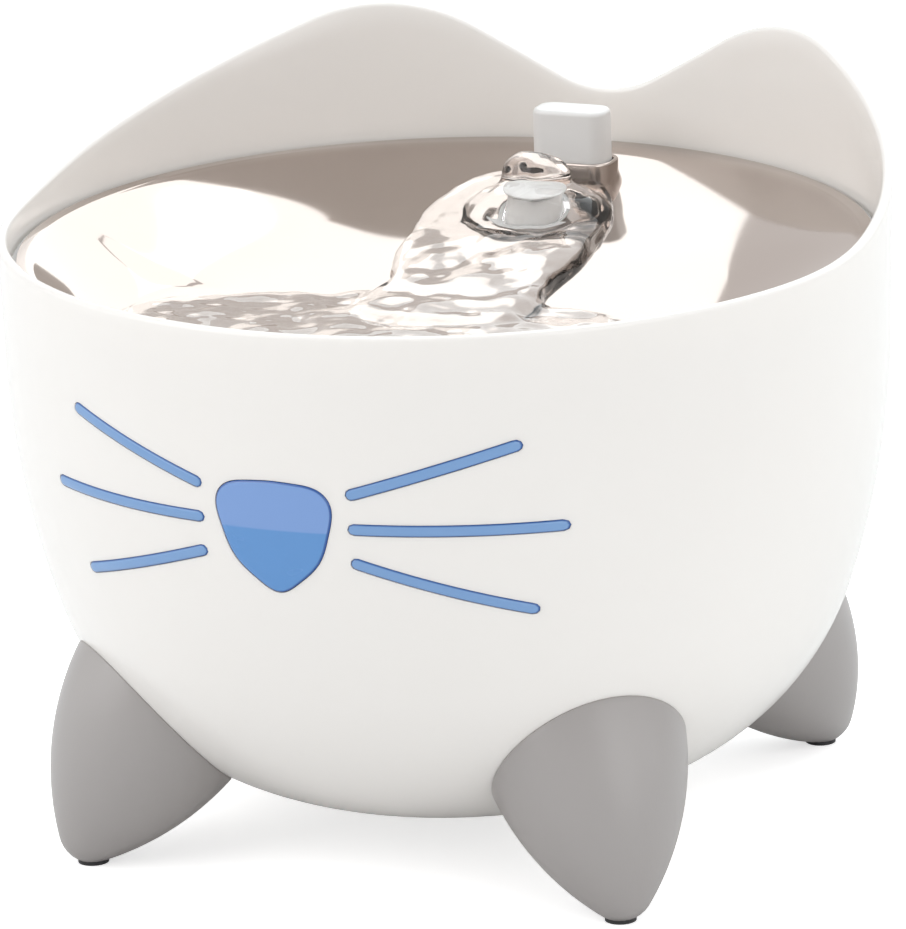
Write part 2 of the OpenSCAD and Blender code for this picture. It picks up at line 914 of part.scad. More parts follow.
// Frame of the cartridge, with a finger tab to pull it up by
module filter_frame() {
    tab_w = 16;
    tab_t = 2;
    color(grey) {
        translate([0, filter_y + filter_t, filter_z])
            rotate([90, 0, 0])
                linear_extrude(filter_t)
                    difference() {
                        translate([-filter_w / 2, 0])
                            square([filter_w, filter_h]);
                        translate([-window_w / 2, filter_rim])
                            square([window_w, window_h]);
                    }
        translate([-tab_w / 2, filter_y + filter_t / 2 - tab_t / 2, filter_z + filter_h])
            cube([tab_w, tab_t, tab_w / 2]);
    }
}

module filter_pad() {
    pad_inset = 0.8;
    color("gainsboro")
        translate([-window_w / 2, filter_y + pad_inset, filter_z + filter_rim])
            cube([window_w, filter_t - 2 * pad_inset, window_h]);
}

// Contact post that carries current from the inlet into the pump
module power_post() {
    color(dark)
        translate([0, motor_mid, base_z])
            cylinder(r = post_r, h = post_top - base_z);
}

module post_seal() {
    color(grey)
        translate([0, motor_mid, base_z])
            difference() {
                cylinder(r = post_r + post_seal_t, h = wall);
                translate([0, 0, -over])
                    cylinder(r = post_r, h = wall + 2 * over);
            }
}

// Housing under the base with the socket for the lead's plug, facing backwards
module inlet_housing() {
    front_y = motor_mid - post_r - wall;
    back_y = sqrt(pow(side_r(base_z, 0), 2) - pow(inlet_w / 2, 2)) - 1;
    color(dark)
        difference() {
            translate([-inlet_w / 2, front_y, base_z - inlet_h])
                cube([inlet_w, back_y - front_y, inlet_h]);
            translate([0, back_y + over, base_z - inlet_h / 2])
                rotate([90, 0, 0])
                    cylinder(r = socket_r, h = socket_l + over);
        }
}

bowl();
foot(-foot_angle);  // foot_front_left
foot(foot_angle);  // foot_front_right
foot(180 + foot_angle);  // foot_rear_left
foot(180 - foot_angle);  // foot_rear_right
foot_pads();
nose_lens();
nose_seal();
light_pod();
light_board();
light_lamp();
whisker_set(1);  // whiskers_left
whisker_set(0);  // whiskers_right
dish_seal();
dish();
float_guide();
float_block();
float_body();
nozzle_gasket();
nozzle_tube();
nozzle_cap();
riser_tube();
pump_housing();
pump_cover();
pump_shaft();
shaft_bushes();
impeller();
rotor_magnet();
suction_cups();
pump_chamber();
filter_frame();
filter_pad();
power_post();
post_seal();
inlet_housing();
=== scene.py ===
"""Looks of the pet water fountain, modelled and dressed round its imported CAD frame."""
import logging
import math
from dataclasses import dataclass
from enum import Enum
from typing import Callable, Sequence

import bmesh
import bpy
from mathutils import Matrix, Vector, noise


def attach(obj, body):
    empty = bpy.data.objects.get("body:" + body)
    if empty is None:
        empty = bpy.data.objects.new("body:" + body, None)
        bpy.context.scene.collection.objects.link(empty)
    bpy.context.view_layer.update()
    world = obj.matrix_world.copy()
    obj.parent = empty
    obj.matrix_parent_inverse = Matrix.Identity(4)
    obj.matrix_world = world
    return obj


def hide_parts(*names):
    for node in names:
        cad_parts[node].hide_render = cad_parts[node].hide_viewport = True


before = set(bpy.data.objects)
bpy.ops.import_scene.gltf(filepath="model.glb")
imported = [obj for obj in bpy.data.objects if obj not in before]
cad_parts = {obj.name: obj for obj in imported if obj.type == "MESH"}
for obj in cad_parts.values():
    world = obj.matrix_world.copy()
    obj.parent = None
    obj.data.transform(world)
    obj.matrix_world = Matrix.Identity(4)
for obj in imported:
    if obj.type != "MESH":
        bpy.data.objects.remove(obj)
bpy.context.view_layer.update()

Object = bpy.types.Object
Socket = bpy.types.NodeSocket
Point2 = tuple[float, float]
Colour = tuple[float, float, float]
Layer = tuple[float, float, float, float, float]  # three lengths, a shift and a height, in mm

LOG = logging.getLogger("fountain")
MM = 0.001
TURN = 2 * math.pi
WELD = 1e-6
TINY = 1e-12
ROUND = 96
SMALL_ROUND = 24
EDGE = "edge"
FRONT = Vector((0, -1, 0))
UP = Vector((0, 0, 1))


# ---------------------------------------------------------------- mesh tools


def deselect_all() -> None:
    """Leaves edit mode and deselects every object."""
    if bpy.context.mode != "OBJECT":
        bpy.ops.object.mode_set(mode="OBJECT")
    bpy.ops.object.select_all(action="DESELECT")


def activate(obj: Object) -> None:
    """Makes obj the only selected object and the active one."""
    deselect_all()
    obj.select_set(True)
    bpy.context.view_layer.objects.active = obj


class EditMode:
    """Edit mode on one object, entered with nothing selected."""

    def __init__(self, obj: Object, kind: str = "VERT") -> None:
        """Takes the object and the select mode: VERT, EDGE or FACE."""
        self.obj = obj
        self.kind = kind

    def __enter__(self) -> "EditMode":
        """Enters edit mode with nothing selected."""
        activate(self.obj)
        bpy.ops.object.mode_set(mode="EDIT")
        bpy.ops.mesh.select_mode(type=self.kind)
        bpy.ops.mesh.select_all(action="DESELECT")
        return self

    def __exit__(self, *_: object) -> None:
        """Goes back to object mode."""
        bpy.ops.object.mode_set(mode="OBJECT")

    def pick(self, test: Callable[[object], bool]) -> None:
        """Selects the vertices, edges or faces for which test is true.

        Args:
            test: takes a bmesh element of the current kind and says whether it is selected.
        """
        mesh = bmesh.from_edit_mesh(self.obj.data)
        parts = {"VERT": mesh.verts, "EDGE": mesh.edges, "FACE": mesh.faces}[self.kind]
        for part in parts:
            part.select_set(bool(test(part)))
        mesh.select_flush_mode()
        bmesh.update_edit_mesh(self.obj.data)

    def all(self) -> None:
        """Selects everything."""
        bpy.ops.mesh.select_all(action="SELECT")

    def outwards(self) -> None:
        """Turns all normals outwards."""
        self.all()
        bpy.ops.mesh.normals_make_consistent(inside=False)

    def extrude(self, lift: Sequence[float]) -> None:
        """Extrudes all faces into a closed solid."""
        self.all()
        bpy.ops.mesh.extrude_region_move(TRANSFORM_OT_translate={"value": tuple(lift)})
        self.outwards()

    def triangulate(self) -> None:
        """Splits the selected faces into triangles."""
        bpy.ops.mesh.quads_convert_to_tris(quad_method="BEAUTY", ngon_method="BEAUTY")

    def round_border(self, test: Callable[[object], bool], width: float, segments: int) -> None:
        """Rounds the border round the faces for which test is true."""
        self.pick(test)
        bpy.ops.mesh.region_to_loop()
        bpy.ops.mesh.bevel(offset=width, segments=segments, affect="EDGES")


def named(name: str) -> Object:
    """Gives the active object, and its mesh, a name, and returns the object."""
    obj = bpy.context.active_object
    obj.name = name
    obj.data.name = name
    return obj


def spun(name: str, profile: Sequence[Point2], steps: int) -> Object:
    """Draws a profile by extruding one vertex along it, then spins it about Z.

    Args:
        name: the new object's name.
        profile: (radius, height) points, in metres.
        steps: number of steps in the full turn.

    Returns:
        The new object, welded, with its normals outwards.
    """
    deselect_all()
    bpy.ops.mesh.primitive_plane_add(size=MM, location=(0, 0, 0))
    obj = named(name)
    with EditMode(obj) as edit:
        edit.all()
        bpy.ops.mesh.merge(type="CENTER")
        bpy.ops.transform.translate(value=(profile[0][0], 0, profile[0][1]))
        for (r0, z0), (r1, z1) in zip(profile, profile[1:]):
            bpy.ops.mesh.extrude_vertices_move(TRANSFORM_OT_translate={"value": (r1 - r0, 0, z1 - z0)})
        edit.all()
        bpy.ops.mesh.spin(steps=steps, angle=TURN, center=(0, 0, 0), axis=(0, 0, 1))
        edit.all()
        bpy.ops.mesh.remove_doubles(threshold=WELD)
        edit.outwards()
    return obj


class Ends(Enum):
    """How a ringed form begins and ends."""

    OPEN = "begins in a point and ends in an open edge"
    POINTS = "begins and ends in a point"
    LOOP = "its last ring joins its first"


def ringed(name: str, rows: int, columns: int, place: Callable[[int, float], Vector], ends: Ends) -> Object:
    """Spins a plain tube and lays each of its rings where place says.

    Args:
        name: the new object's name.
        rows: the number of rings.
        columns: the number of points on each ring.
        place: takes a ring's number and an angle in radians, and gives the point.
        ends: how the form begins and ends.

    Returns:
        The new object, with its normals outwards.
    """
    profile = [(1.0, float(i)) for i in range(rows)]
    if ends is Ends.LOOP:
        profile.append(profile[0])
    else:
        profile[0] = (0, 0)
    if ends is Ends.POINTS:
        profile[-1] = (0, rows - 1.0)
    obj = spun(name, profile, columns)
    for vertex in obj.data.vertices:
        x, y, z = vertex.co
        vertex.co = place(round(z), math.atan2(y, x) % TURN)
    with EditMode(obj) as edit:
        edit.outwards()
    return obj


def outline_face(name: str, points: Sequence[Vector]) -> Object:
    """Lays one face with a corner at each of the points.

    Args:
        name: the new object's name.
        points: the corners in order, in metres.

    Returns:
        The new object.
    """
    deselect_all()
    bpy.ops.mesh.primitive_circle_add(vertices=len(points), radius=MM, fill_type="NGON", location=(0, 0, 0))
    obj = named(name)
    for vertex, point in zip(obj.data.vertices, points):
        vertex.co = point
    return obj


def raised(name: str, points: Sequence[Vector], lift: Sequence[float]) -> Object:
    """Extrudes an outline into a closed prism.

    Args:
        name: the new object's name.
        points: the outline's corners in order, in metres.
        lift: the way and distance of the extrusion.

    Returns:
        The new object, with its normals outwards.
    """
    obj = outline_face(name, points)
    with EditMode(obj, "FACE") as edit:
        edit.extrude(lift)
    return obj


def modify(obj: Object, kind: str, **settings: object) -> Object:
    """Adds one modifier and applies it.

    Args:
        obj: the object.
        kind: the modifier's type.
        **settings: values for its properties.

    Returns:
        The same object.
    """
    activate(obj)
    modifier = obj.modifiers.new(kind.lower(), kind)
    for key, value in settings.items():
        setattr(modifier, key, value)
    bpy.ops.object.modifier_apply(modifier=modifier.name)
    return obj


def boolean(obj: Object, tool: Object, operation: str = "DIFFERENCE") -> Object:
    """Cuts obj with tool, or joins the two solids, and removes the tool.

    Args:
        obj: the solid that stays.
        tool: the solid that cuts it or is added to it.
        operation: DIFFERENCE, UNION or INTERSECT.

    Returns:
        The solid that stays.
    """
    modify(obj, "BOOLEAN", operation=operation, object=tool, solver="EXACT")
    bpy.data.objects.remove(tool)
    return obj


def drilled(obj: Object, r: float, low: float, high: float, place: Matrix, steps: int = 48) -> Object:
    """Drills a round hole.

    Args:
        obj: the solid that is drilled.
        r: the hole's radius.
        low: where the drill begins on its axis.
        high: where it ends.
        place: moves the drill, which stands on the origin along Z, to its place.
        steps: the number of the hole's sides.

    Returns:
        The same solid.
    """
    drill = spun("drill", [(0, low), (r, low), (r, high), (0, high)], steps)
    drill.data.transform(place)
    return boolean(obj, drill)


def thickened(skin: Object, heading: Vector, depth: float) -> Object:
    """Turns a skin to a heading and gives it a thickness behind."""
    if sum(face.normal.dot(heading) for face in skin.data.polygons) < 0:
        skin.data.flip_normals()
    return modify(skin, "SOLIDIFY", thickness=depth, offset=-1, use_rim=True)


def joined(name: str, objects: Sequence[Object]) -> Object:
    """Joins several objects into the first one and renames it."""
    activate(objects[0])
    for obj in objects:
        obj.select_set(True)
    bpy.ops.object.join()
    return named(name)


def copied(obj: Object, name: str, matrix: Matrix) -> Object:
    """Copies an object with a mesh of its own, moved by the matrix."""
    new = obj.copy()
    new.data = obj.data.copy()
    new.name = new.data.name = name
    bpy.context.scene.collection.objects.link(new)
    new.data.transform(matrix)
    return new


def smooth(obj: Object, angle: float = 30) -> Object:
    """Shades an object smooth, apart from edges sharper than the angle in degrees."""
    activate(obj)
    bpy.ops.object.shade_smooth_by_angle(angle=math.radians(angle))
    return obj


def arc(x: float, y: float, r: float, start: float, end: float, count: int) -> list[Point2]:
    """Points on an arc, from start to end in degrees, both ends included."""
    angles = [math.radians(start + (end - start) * i / count) for i in range(count + 1)]
    return [(x + r * math.cos(a), y + r * math.sin(a)) for a in angles]


def rounded_box(w: float, d: float, r: float, count: int = 8) -> list[Point2]:
    """Outline of a rectangle with round corners, centred on the origin."""
    corners = [(1, 1, 0), (-1, 1, 90), (-1, -1, 180), (1, -1, 270)]
    return [
        point
        for sx, sy, start in corners
        for point in arc(sx * (w / 2 - r), sy * (d / 2 - r), r, start, start + 90, count)
    ]


def distance_to_edge(point: Point2, outline: Sequence[Point2]) -> float:
    """Distance from a point to the nearest side of a closed outline."""
    p = Vector(point)
    best = math.inf
    for i, corner in enumerate(outline):
        a, b = Vector(outline[i - 1]), Vector(corner)
        side = b - a
        share = max(0.0, min(1.0, (p - a).dot(side) / max(side.length_squared, TINY**2)))
        best = min(best, (p - a - side * share).length)
    return best


# ---------------------------------------------------------------- finishes


class NodeTree:
    """Short calls for building a node tree."""

    def __init__(self, tree: bpy.types.NodeTree) -> None:
        """Takes the tree and clears it."""
        self.tree = tree
        tree.nodes.clear()

    def add(self, kind: str, inputs: dict[str | int, object] | None = None, **settings: object) -> bpy.types.Node:
        """Adds a node.

        Args:
            kind: the node's type without its ShaderNode prefix, or a whole type name.
            inputs: socket name or number to a value, or to the output socket that feeds it.
            **settings: values for the node's own properties.

        Returns:
            The node.
        """
        full = kind if kind.startswith("Node") else "ShaderNode" + kind
        node = self.tree.nodes.new(full)
        for key, value in settings.items():
            setattr(node, key, value)
        for key, value in (inputs or {}).items():
            if isinstance(value, Socket):
                self.tree.links.new(value, node.inputs[key])
            else:
                node.inputs[key].default_value = value
        return node

    def place(self) -> Socket:
        """The place on the object, in its own coordinates."""
        return self.add("TexCoord").outputs["Object"]

    def math(self, operation: str, *values: object) -> Socket:
        """Result of one step of arithmetic on numbers or sockets."""
        return self.add("Math", dict(enumerate(values)), operation=operation).outputs[0]

    def between(self, value: Socket, low: float, high: float) -> Socket:
        """Share that rises smoothly from 0 to 1 while a value goes from low to high."""
        reach = {"Value": value, "From Min": low, "From Max": high}
        return self.add("MapRange", reach, interpolation_type="SMOOTHSTEP").outputs[0]

    def mixed(self, share: Socket, colour: object, other: object) -> Socket:
        """Mixes two colours, each a socket or four numbers."""
        return self.add("Mix", {0: share, 6: colour, 7: other}, data_type="RGBA").outputs[2]


def new_group(name: str, inputs: dict[str, tuple[str, object]], outputs: dict[str, str]) -> NodeTree:
    """Makes an empty shader node group.

    Args:
        name: the group's name.
        inputs: socket name to its type and default value.
        outputs: socket name to its type.

    Returns:
        The group's tree, cleared.
    """
    tree = bpy.data.node_groups.new(name, "ShaderNodeTree")
    for key, (kind, value) in inputs.items():
        tree.interface.new_socket(key, in_out="INPUT", socket_type=kind).default_value = value
    for key, kind in outputs.items():
        tree.interface.new_socket(key, in_out="OUTPUT", socket_type=kind)
    return NodeTree(tree)


def make_grain_group() -> bpy.types.NodeTree:
    """Fine moulded or blasted grain: a height for bump and a roughness that varies with it."""
    nodes = new_group(
        "surface_grain",
        {
            "Scale": ("NodeSocketFloat", 900.0),
            "Roughness": ("NodeSocketFloat", 0.3),
            "Spread": ("NodeSocketFloat", 0.05),
        },
        {"Height": "NodeSocketFloat", "Roughness": "NodeSocketFloat"},
    )
    entry = nodes.add("NodeGroupInput").outputs
    place = nodes.place()
    fine = nodes.add("TexNoise", {"Vector": place, "Scale": entry["Scale"], "Detail": 3.0})
    broad = nodes.add("TexNoise", {"Vector": place, "Scale": 35.0, "Detail": 4.0, "Roughness": 0.6})
    shift = nodes.math("SUBTRACT", broad.outputs["Fac"], 0.5)
    rough = nodes.math("ADD", nodes.math("MULTIPLY", shift, entry["Spread"]), entry["Roughness"])
    nodes.add("NodeGroupOutput", {"Height": fine.outputs["Fac"], "Roughness": rough})
    return nodes.tree


def make_drift_group() -> bpy.types.NodeTree:
    """Slow drift between two close colours."""
    nodes = new_group(
        "colour_drift",
        {
            "Colour": ("NodeSocketColor", (1, 1, 1, 1)),
            "Other": ("NodeSocketColor", (1, 1, 1, 1)),
            "Scale": ("NodeSocketFloat", 20.0),
        },
        {"Colour": "NodeSocketColor"},
    )
    entry = nodes.add("NodeGroupInput").outputs
    place = nodes.place()
    slow = nodes.add("TexNoise", {"Vector": place, "Scale": entry["Scale"], "Detail": 5.0})
    mix = nodes.mixed(slow.outputs["Fac"], entry["Colour"], entry["Other"])
    nodes.add("NodeGroupOutput", {"Colour": mix})
    return nodes.tree


def make_scuff_group() -> bpy.types.NodeTree:
    """Fine scuffs and hairlines: a mask of thin stretched marks."""
    nodes = new_group(
        "hairline_scuffs",
        {"Scale": ("NodeSocketFloat", 60.0), "Amount": ("NodeSocketFloat", 0.3)},
        {"Mask": "NodeSocketFloat"},
    )
    entry = nodes.add("NodeGroupInput").outputs
    place = nodes.place()
    turned = nodes.add("Mapping", {"Vector": place, "Rotation": (0.3, 0.2, 0.9), "Scale": (1, 14, 1)})
    marks = nodes.add("TexNoise", {"Vector": turned.outputs[0], "Scale": entry["Scale"], "Detail": 2.0})
    ramp = nodes.add("MapRange", {"Value": marks.outputs["Fac"], "From Min": 0.62, "From Max": 0.8})
    nodes.add("NodeGroupOutput", {"Mask": nodes.math("MULTIPLY", ramp.outputs[0], entry["Amount"])})
    return nodes.tree


GRAIN = make_grain_group()
DRIFT = make_drift_group()
SCUFFS = make_scuff_group()


GRAIN_DEPTH = 0.2 * MM
LEAN_END_Y = 50 * MM
LEAN_BLEND = 25 * MM


@dataclass(frozen=True)
class Finish:
    """A surface: two close colours, gloss, grain and scuffs, and what the shader needs besides."""

    name: str
    colour: Colour
    other: Colour
    roughness: float = 0.3
    spread: float = 0.06
    drift_scale: float = 18.0
    grain_scale: float = 900.0
    grain_height: float = 0.02
    scuff: float = 0.1
    metallic: float = 0.0
    coat: float = 0.0
    coat_roughness: float = 0.05
    ior: float = 1.5
    transmission: float = 0.0
    subsurface: float = 0.0
    scatter: float = 1.5 * MM
    sheen: float = 0.0
    wave_scale: float = 0.0
    wave_height: float = 0.0
    # painted reflection: two heights and a lighter colour that the upper part of the piece is blended to
    painted_reflection: tuple[float, float, Colour] | None = None
    # rim: painted shade, the widths and dark colour of the darkening along the piece's outline, where its gap to the
    # bowl lies
    rim: tuple[float, float, Colour] | None = None
    lean: float = 0.0

    def build(self) -> bpy.types.Material:
        """Makes the material.

        Returns:
            The material, with its nodes built.
        """
        material = bpy.data.materials.new(self.name)
        material.use_nodes = True
        nodes = NodeTree(material.node_tree)
        tints = {"Colour": (*self.colour, 1), "Other": (*self.other, 1), "Scale": self.drift_scale}
        colour = nodes.add("Group", tints, node_tree=DRIFT).outputs["Colour"]
        gloss = {"Scale": self.grain_scale, "Roughness": self.roughness, "Spread": self.spread}
        grain = nodes.add("Group", gloss, node_tree=GRAIN).outputs
        scuffs = nodes.add("Group", {"Amount": self.scuff}, node_tree=SCUFFS).outputs
        rough = nodes.math("ADD", grain["Roughness"], scuffs["Mask"])
        # painted reflection on the upper part, for finishes that have it
        if self.painted_reflection:
            colour = self.with_painted_reflection(nodes, colour)
        # painted shade along the outline, for finishes that have it
        if self.rim:
            colour = self.with_painted_edge_shade(nodes, colour)
        pits = {"Height": grain["Height"], "Strength": self.grain_height, "Distance": GRAIN_DEPTH}
        normal = nodes.add("Bump", pits).outputs[0]
        if self.wave_height:
            wave = nodes.add("TexNoise", {"Vector": nodes.place(), "Scale": self.wave_scale, "Detail": 1.0})
            swell = {"Height": wave.outputs["Fac"], "Distance": self.wave_height, "Normal": normal}
            normal = nodes.add("Bump", swell).outputs[0]
        if self.lean:
            normal = self.leaning(nodes, normal)
        shader = nodes.add("BsdfPrincipled", {
            "Base Color": colour,
            "Roughness": rough,
            "Normal": normal,
            "Metallic": self.metallic,
            "Coat Weight": self.coat,
            "Coat Roughness": self.coat_roughness,
            "IOR": self.ior,
            "Transmission Weight": self.transmission,
            "Subsurface Weight": self.subsurface,
            "Sheen Weight": self.sheen,
        })
        if self.subsurface:
            shader.inputs["Subsurface Radius"].default_value = (1, 1, 1)
            shader.inputs["Subsurface Scale"].default_value = self.scatter
        nodes.add("OutputMaterial", {"Surface": shader.outputs[0]})
        return material

    def with_painted_reflection(self, nodes: NodeTree, colour: Socket) -> Socket:
        """Blends the colour into another one between two heights of the object: a painted reflection, lighter over
        the upper part.

        Args:
            nodes: the material's tree.
            colour: the colour below the lower height.

        Returns:
            The blended colour's socket.
        """
        # top is the lighter colour of the painted reflection
        low, high, top = self.painted_reflection
        height = nodes.add("SeparateXYZ", {0: nodes.place()}).outputs["Z"]
        return nodes.mixed(nodes.between(height, low, high), colour, (*top, 1))

    def with_painted_edge_shade(self, nodes: NodeTree, colour: Socket) -> Socket:
        """Darkens the colour along the piece's outline, by the distance kept in its edge attribute: painted shade,
        standing in for the shade in the gap round the piece.

        Args:
            nodes: the material's tree.
            colour: the colour away from the outline.

        Returns:
            The blended colour's socket.
        """
        # dark is the colour of the painted shade along the outline
        low, high, dark = self.rim
        edge = nodes.add("Attribute", attribute_name=EDGE).outputs["Fac"]
        return nodes.mixed(nodes.between(edge, low, high), (*dark, 1), colour)

    def leaning(self, nodes: NodeTree, normal: Socket) -> Socket:
        """Leans the surface's shading towards the front; the lean runs out at the back.

        Args:
            nodes: the material's tree.
            normal: the normal before it.

        Returns:
            The leaning normal's socket.
        """
        back = nodes.add("SeparateXYZ", {0: nodes.place()}).outputs["Y"]
        held = nodes.math("SMOOTH_MIN", back, LEAN_END_Y, LEAN_BLEND)
        rise = nodes.math("MULTIPLY", held, math.tan(math.radians(self.lean)))
        return nodes.add("Bump", {"Height": rise, "Distance": 1.0, "Normal": normal}).outputs[0]


class Finishes(Enum):
    """Every finish on the fountain."""

    SHELL = Finish(
        "glossy_white_shell", (0.875, 0.845, 0.81), (0.89, 0.862, 0.83), roughness=0.24, spread=0.08,
        grain_scale=420, grain_height=0.03, scuff=0.0, coat=0.15, coat_roughness=0.08,
        subsurface=0.3, scatter=2.5 * MM, wave_scale=9, wave_height=0.25 * MM,
    )
    FOOT = Finish(
        "satin_grey_foot", (0.355, 0.333, 0.324), (0.385, 0.362, 0.352), roughness=0.38, spread=0.1,
        grain_scale=1400, grain_height=0.1, scuff=0.1, coat=0.15, coat_roughness=0.25, drift_scale=12,
    )
    INLAY = Finish(
        "blue_whisker_gloss", (0.17, 0.33, 0.61), (0.2, 0.355, 0.63), roughness=0.3, spread=0.05,
        grain_height=0.02, scuff=0.03, coat=0.2, coat_roughness=0.15, drift_scale=60,
        # rim: painted shade along each whisker's outline, at its gap to the bowl
        rim=(0.15 * MM, 0.55 * MM, (0.03, 0.115, 0.36)),
    )
    LENS = Finish(
        "blue_nose_gloss", (0.09, 0.27, 0.6), (0.11, 0.29, 0.62), roughness=0.26, spread=0.04, grain_height=0.01,
        # the lens's upper half is lightened by a painted reflection between two heights
        scuff=0.03, coat=0.3, coat_roughness=0.1, drift_scale=40, painted_reflection=(0.1172, 0.1180, (0.19, 0.335, 0.665)),
        # rim: painted shade along the lens's outline, at its gap to the bowl
        rim=(0.25 * MM, 0.7 * MM, (0.02, 0.09, 0.33)),
    )
    STEEL = Finish(
        "polished_steel", (0.46, 0.40, 0.365), (0.50, 0.44, 0.405), roughness=0.07, spread=0.03,
        grain_scale=1800, grain_height=0.01, scuff=0.03, metallic=1.0, wave_scale=14, wave_height=0.3 * MM,
        lean=9.0,
    )
    SLEEVE = Finish(
        "drawn_steel", (0.46, 0.40, 0.365), (0.50, 0.44, 0.405), roughness=0.22, spread=0.05,
        grain_scale=1800, grain_height=0.02, scuff=0.05, metallic=1.0,
    )
    FITTING = Finish(
        "moulded_white_fitting", (0.74, 0.725, 0.71), (0.77, 0.76, 0.745), roughness=0.3, spread=0.08,
        grain_scale=700, grain_height=0.03, coat=0.15, coat_roughness=0.12, subsurface=0.05,
    )
    WATER = Finish(
        "clear_water", (0.985, 0.985, 0.98), (1.0, 1.0, 1.0), roughness=0.01, spread=0.01, grain_height=0.0,
        scuff=0.0, ior=1.333, transmission=1.0, wave_scale=110, wave_height=0.12 * MM,
    )
    SEAL = Finish(
        "pale_silicone", (0.55, 0.54, 0.53), (0.6, 0.59, 0.58), roughness=0.5, spread=0.1,
        grain_scale=1200, grain_height=0.08, sheen=0.1,
    )
    RUBBER = Finish(
        "matt_dark_rubber", (0.022, 0.022, 0.024), (0.032, 0.032, 0.034), roughness=0.62, spread=0.12,
        grain_scale=1600, grain_height=0.2, sheen=0.15,
    )
    HOUSING = Finish(
        "moulded_dark_housing", (0.035, 0.036, 0.04), (0.05, 0.051, 0.056), roughness=0.44, spread=0.1,
        grain_scale=1100, grain_height=0.15, scuff=0.15,
    )
    IMPELLER = Finish(
        "pale_impeller", (0.42, 0.47, 0.55), (0.46, 0.51, 0.58), roughness=0.36, grain_height=0.05, scuff=0.12,
    )
    MAGNET = Finish(
        "ferrite_magnet", (0.045, 0.044, 0.043), (0.07, 0.068, 0.066), roughness=0.5, spread=0.2,
        grain_scale=2200, grain_height=0.3, metallic=0.35, scuff=0.25,
    )
    CERAMIC = Finish(
        "white_ceramic", (0.78, 0.76, 0.71), (0.82, 0.8, 0.76), roughness=0.14, grain_height=0.01, coat=0.2,
    )
    BUSH = Finish(
        "brown_bush", (0.14, 0.065, 0.03), (0.18, 0.085, 0.04), roughness=0.4, grain_height=0.08, drift_scale=90,
    )
    FLEECE = Finish(
        "soft_filter_fleece", (0.66, 0.66, 0.62), (0.76, 0.76, 0.73), roughness=0.95, spread=0.05, drift_scale=260,
        grain_scale=1500, grain_height=1.0, scuff=0.0, sheen=0.4, wave_scale=420, wave_height=0.8 * MM,
    )
    BOARD = Finish(
        "green_board_resist", (0.02, 0.11, 0.05), (0.03, 0.15, 0.07), roughness=0.4, drift_scale=300,
        grain_height=0.1,
    )
    LAMP = Finish(
        "lamp_resin", (0.7, 0.74, 0.8), (0.78, 0.81, 0.86), roughness=0.12, grain_height=0.01, coat=0.4,
    )

    def dress(self, obj: Object, slot: str | None = None) -> None:
        """Puts this finish on an object.

        Args:
            obj: the object.
            slot: the record's material slot that the finish belongs to, on a new piece; not used.
        """
        material = bpy.data.materials.get(self.value.name) or self.value.build()
        obj.data.materials.clear()
        obj.data.materials.append(material)


def finished(piece: Object, body: str, finish: Finishes, slot: str | None, nodes: Sequence[str]) -> Object:
    """Dresses a finished piece, hangs it on its body and lets it stand for CAD nodes.

    Args:
        piece: the modelled piece.
        body: the CAD body that it rides on.
        finish: its finish.
        slot: the record's material slot, if it has one.
        nodes: the CAD nodes that it stands for.

    Returns:
        The piece.
    """
    finish.dress(piece, slot)
    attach(piece, body)
    if nodes:
        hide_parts(*nodes)
    LOG.info("%s: %d faces, rides on %s", piece.name, len(piece.data.polygons), body)
    return piece


# ---------------------------------------------------------------- bowl


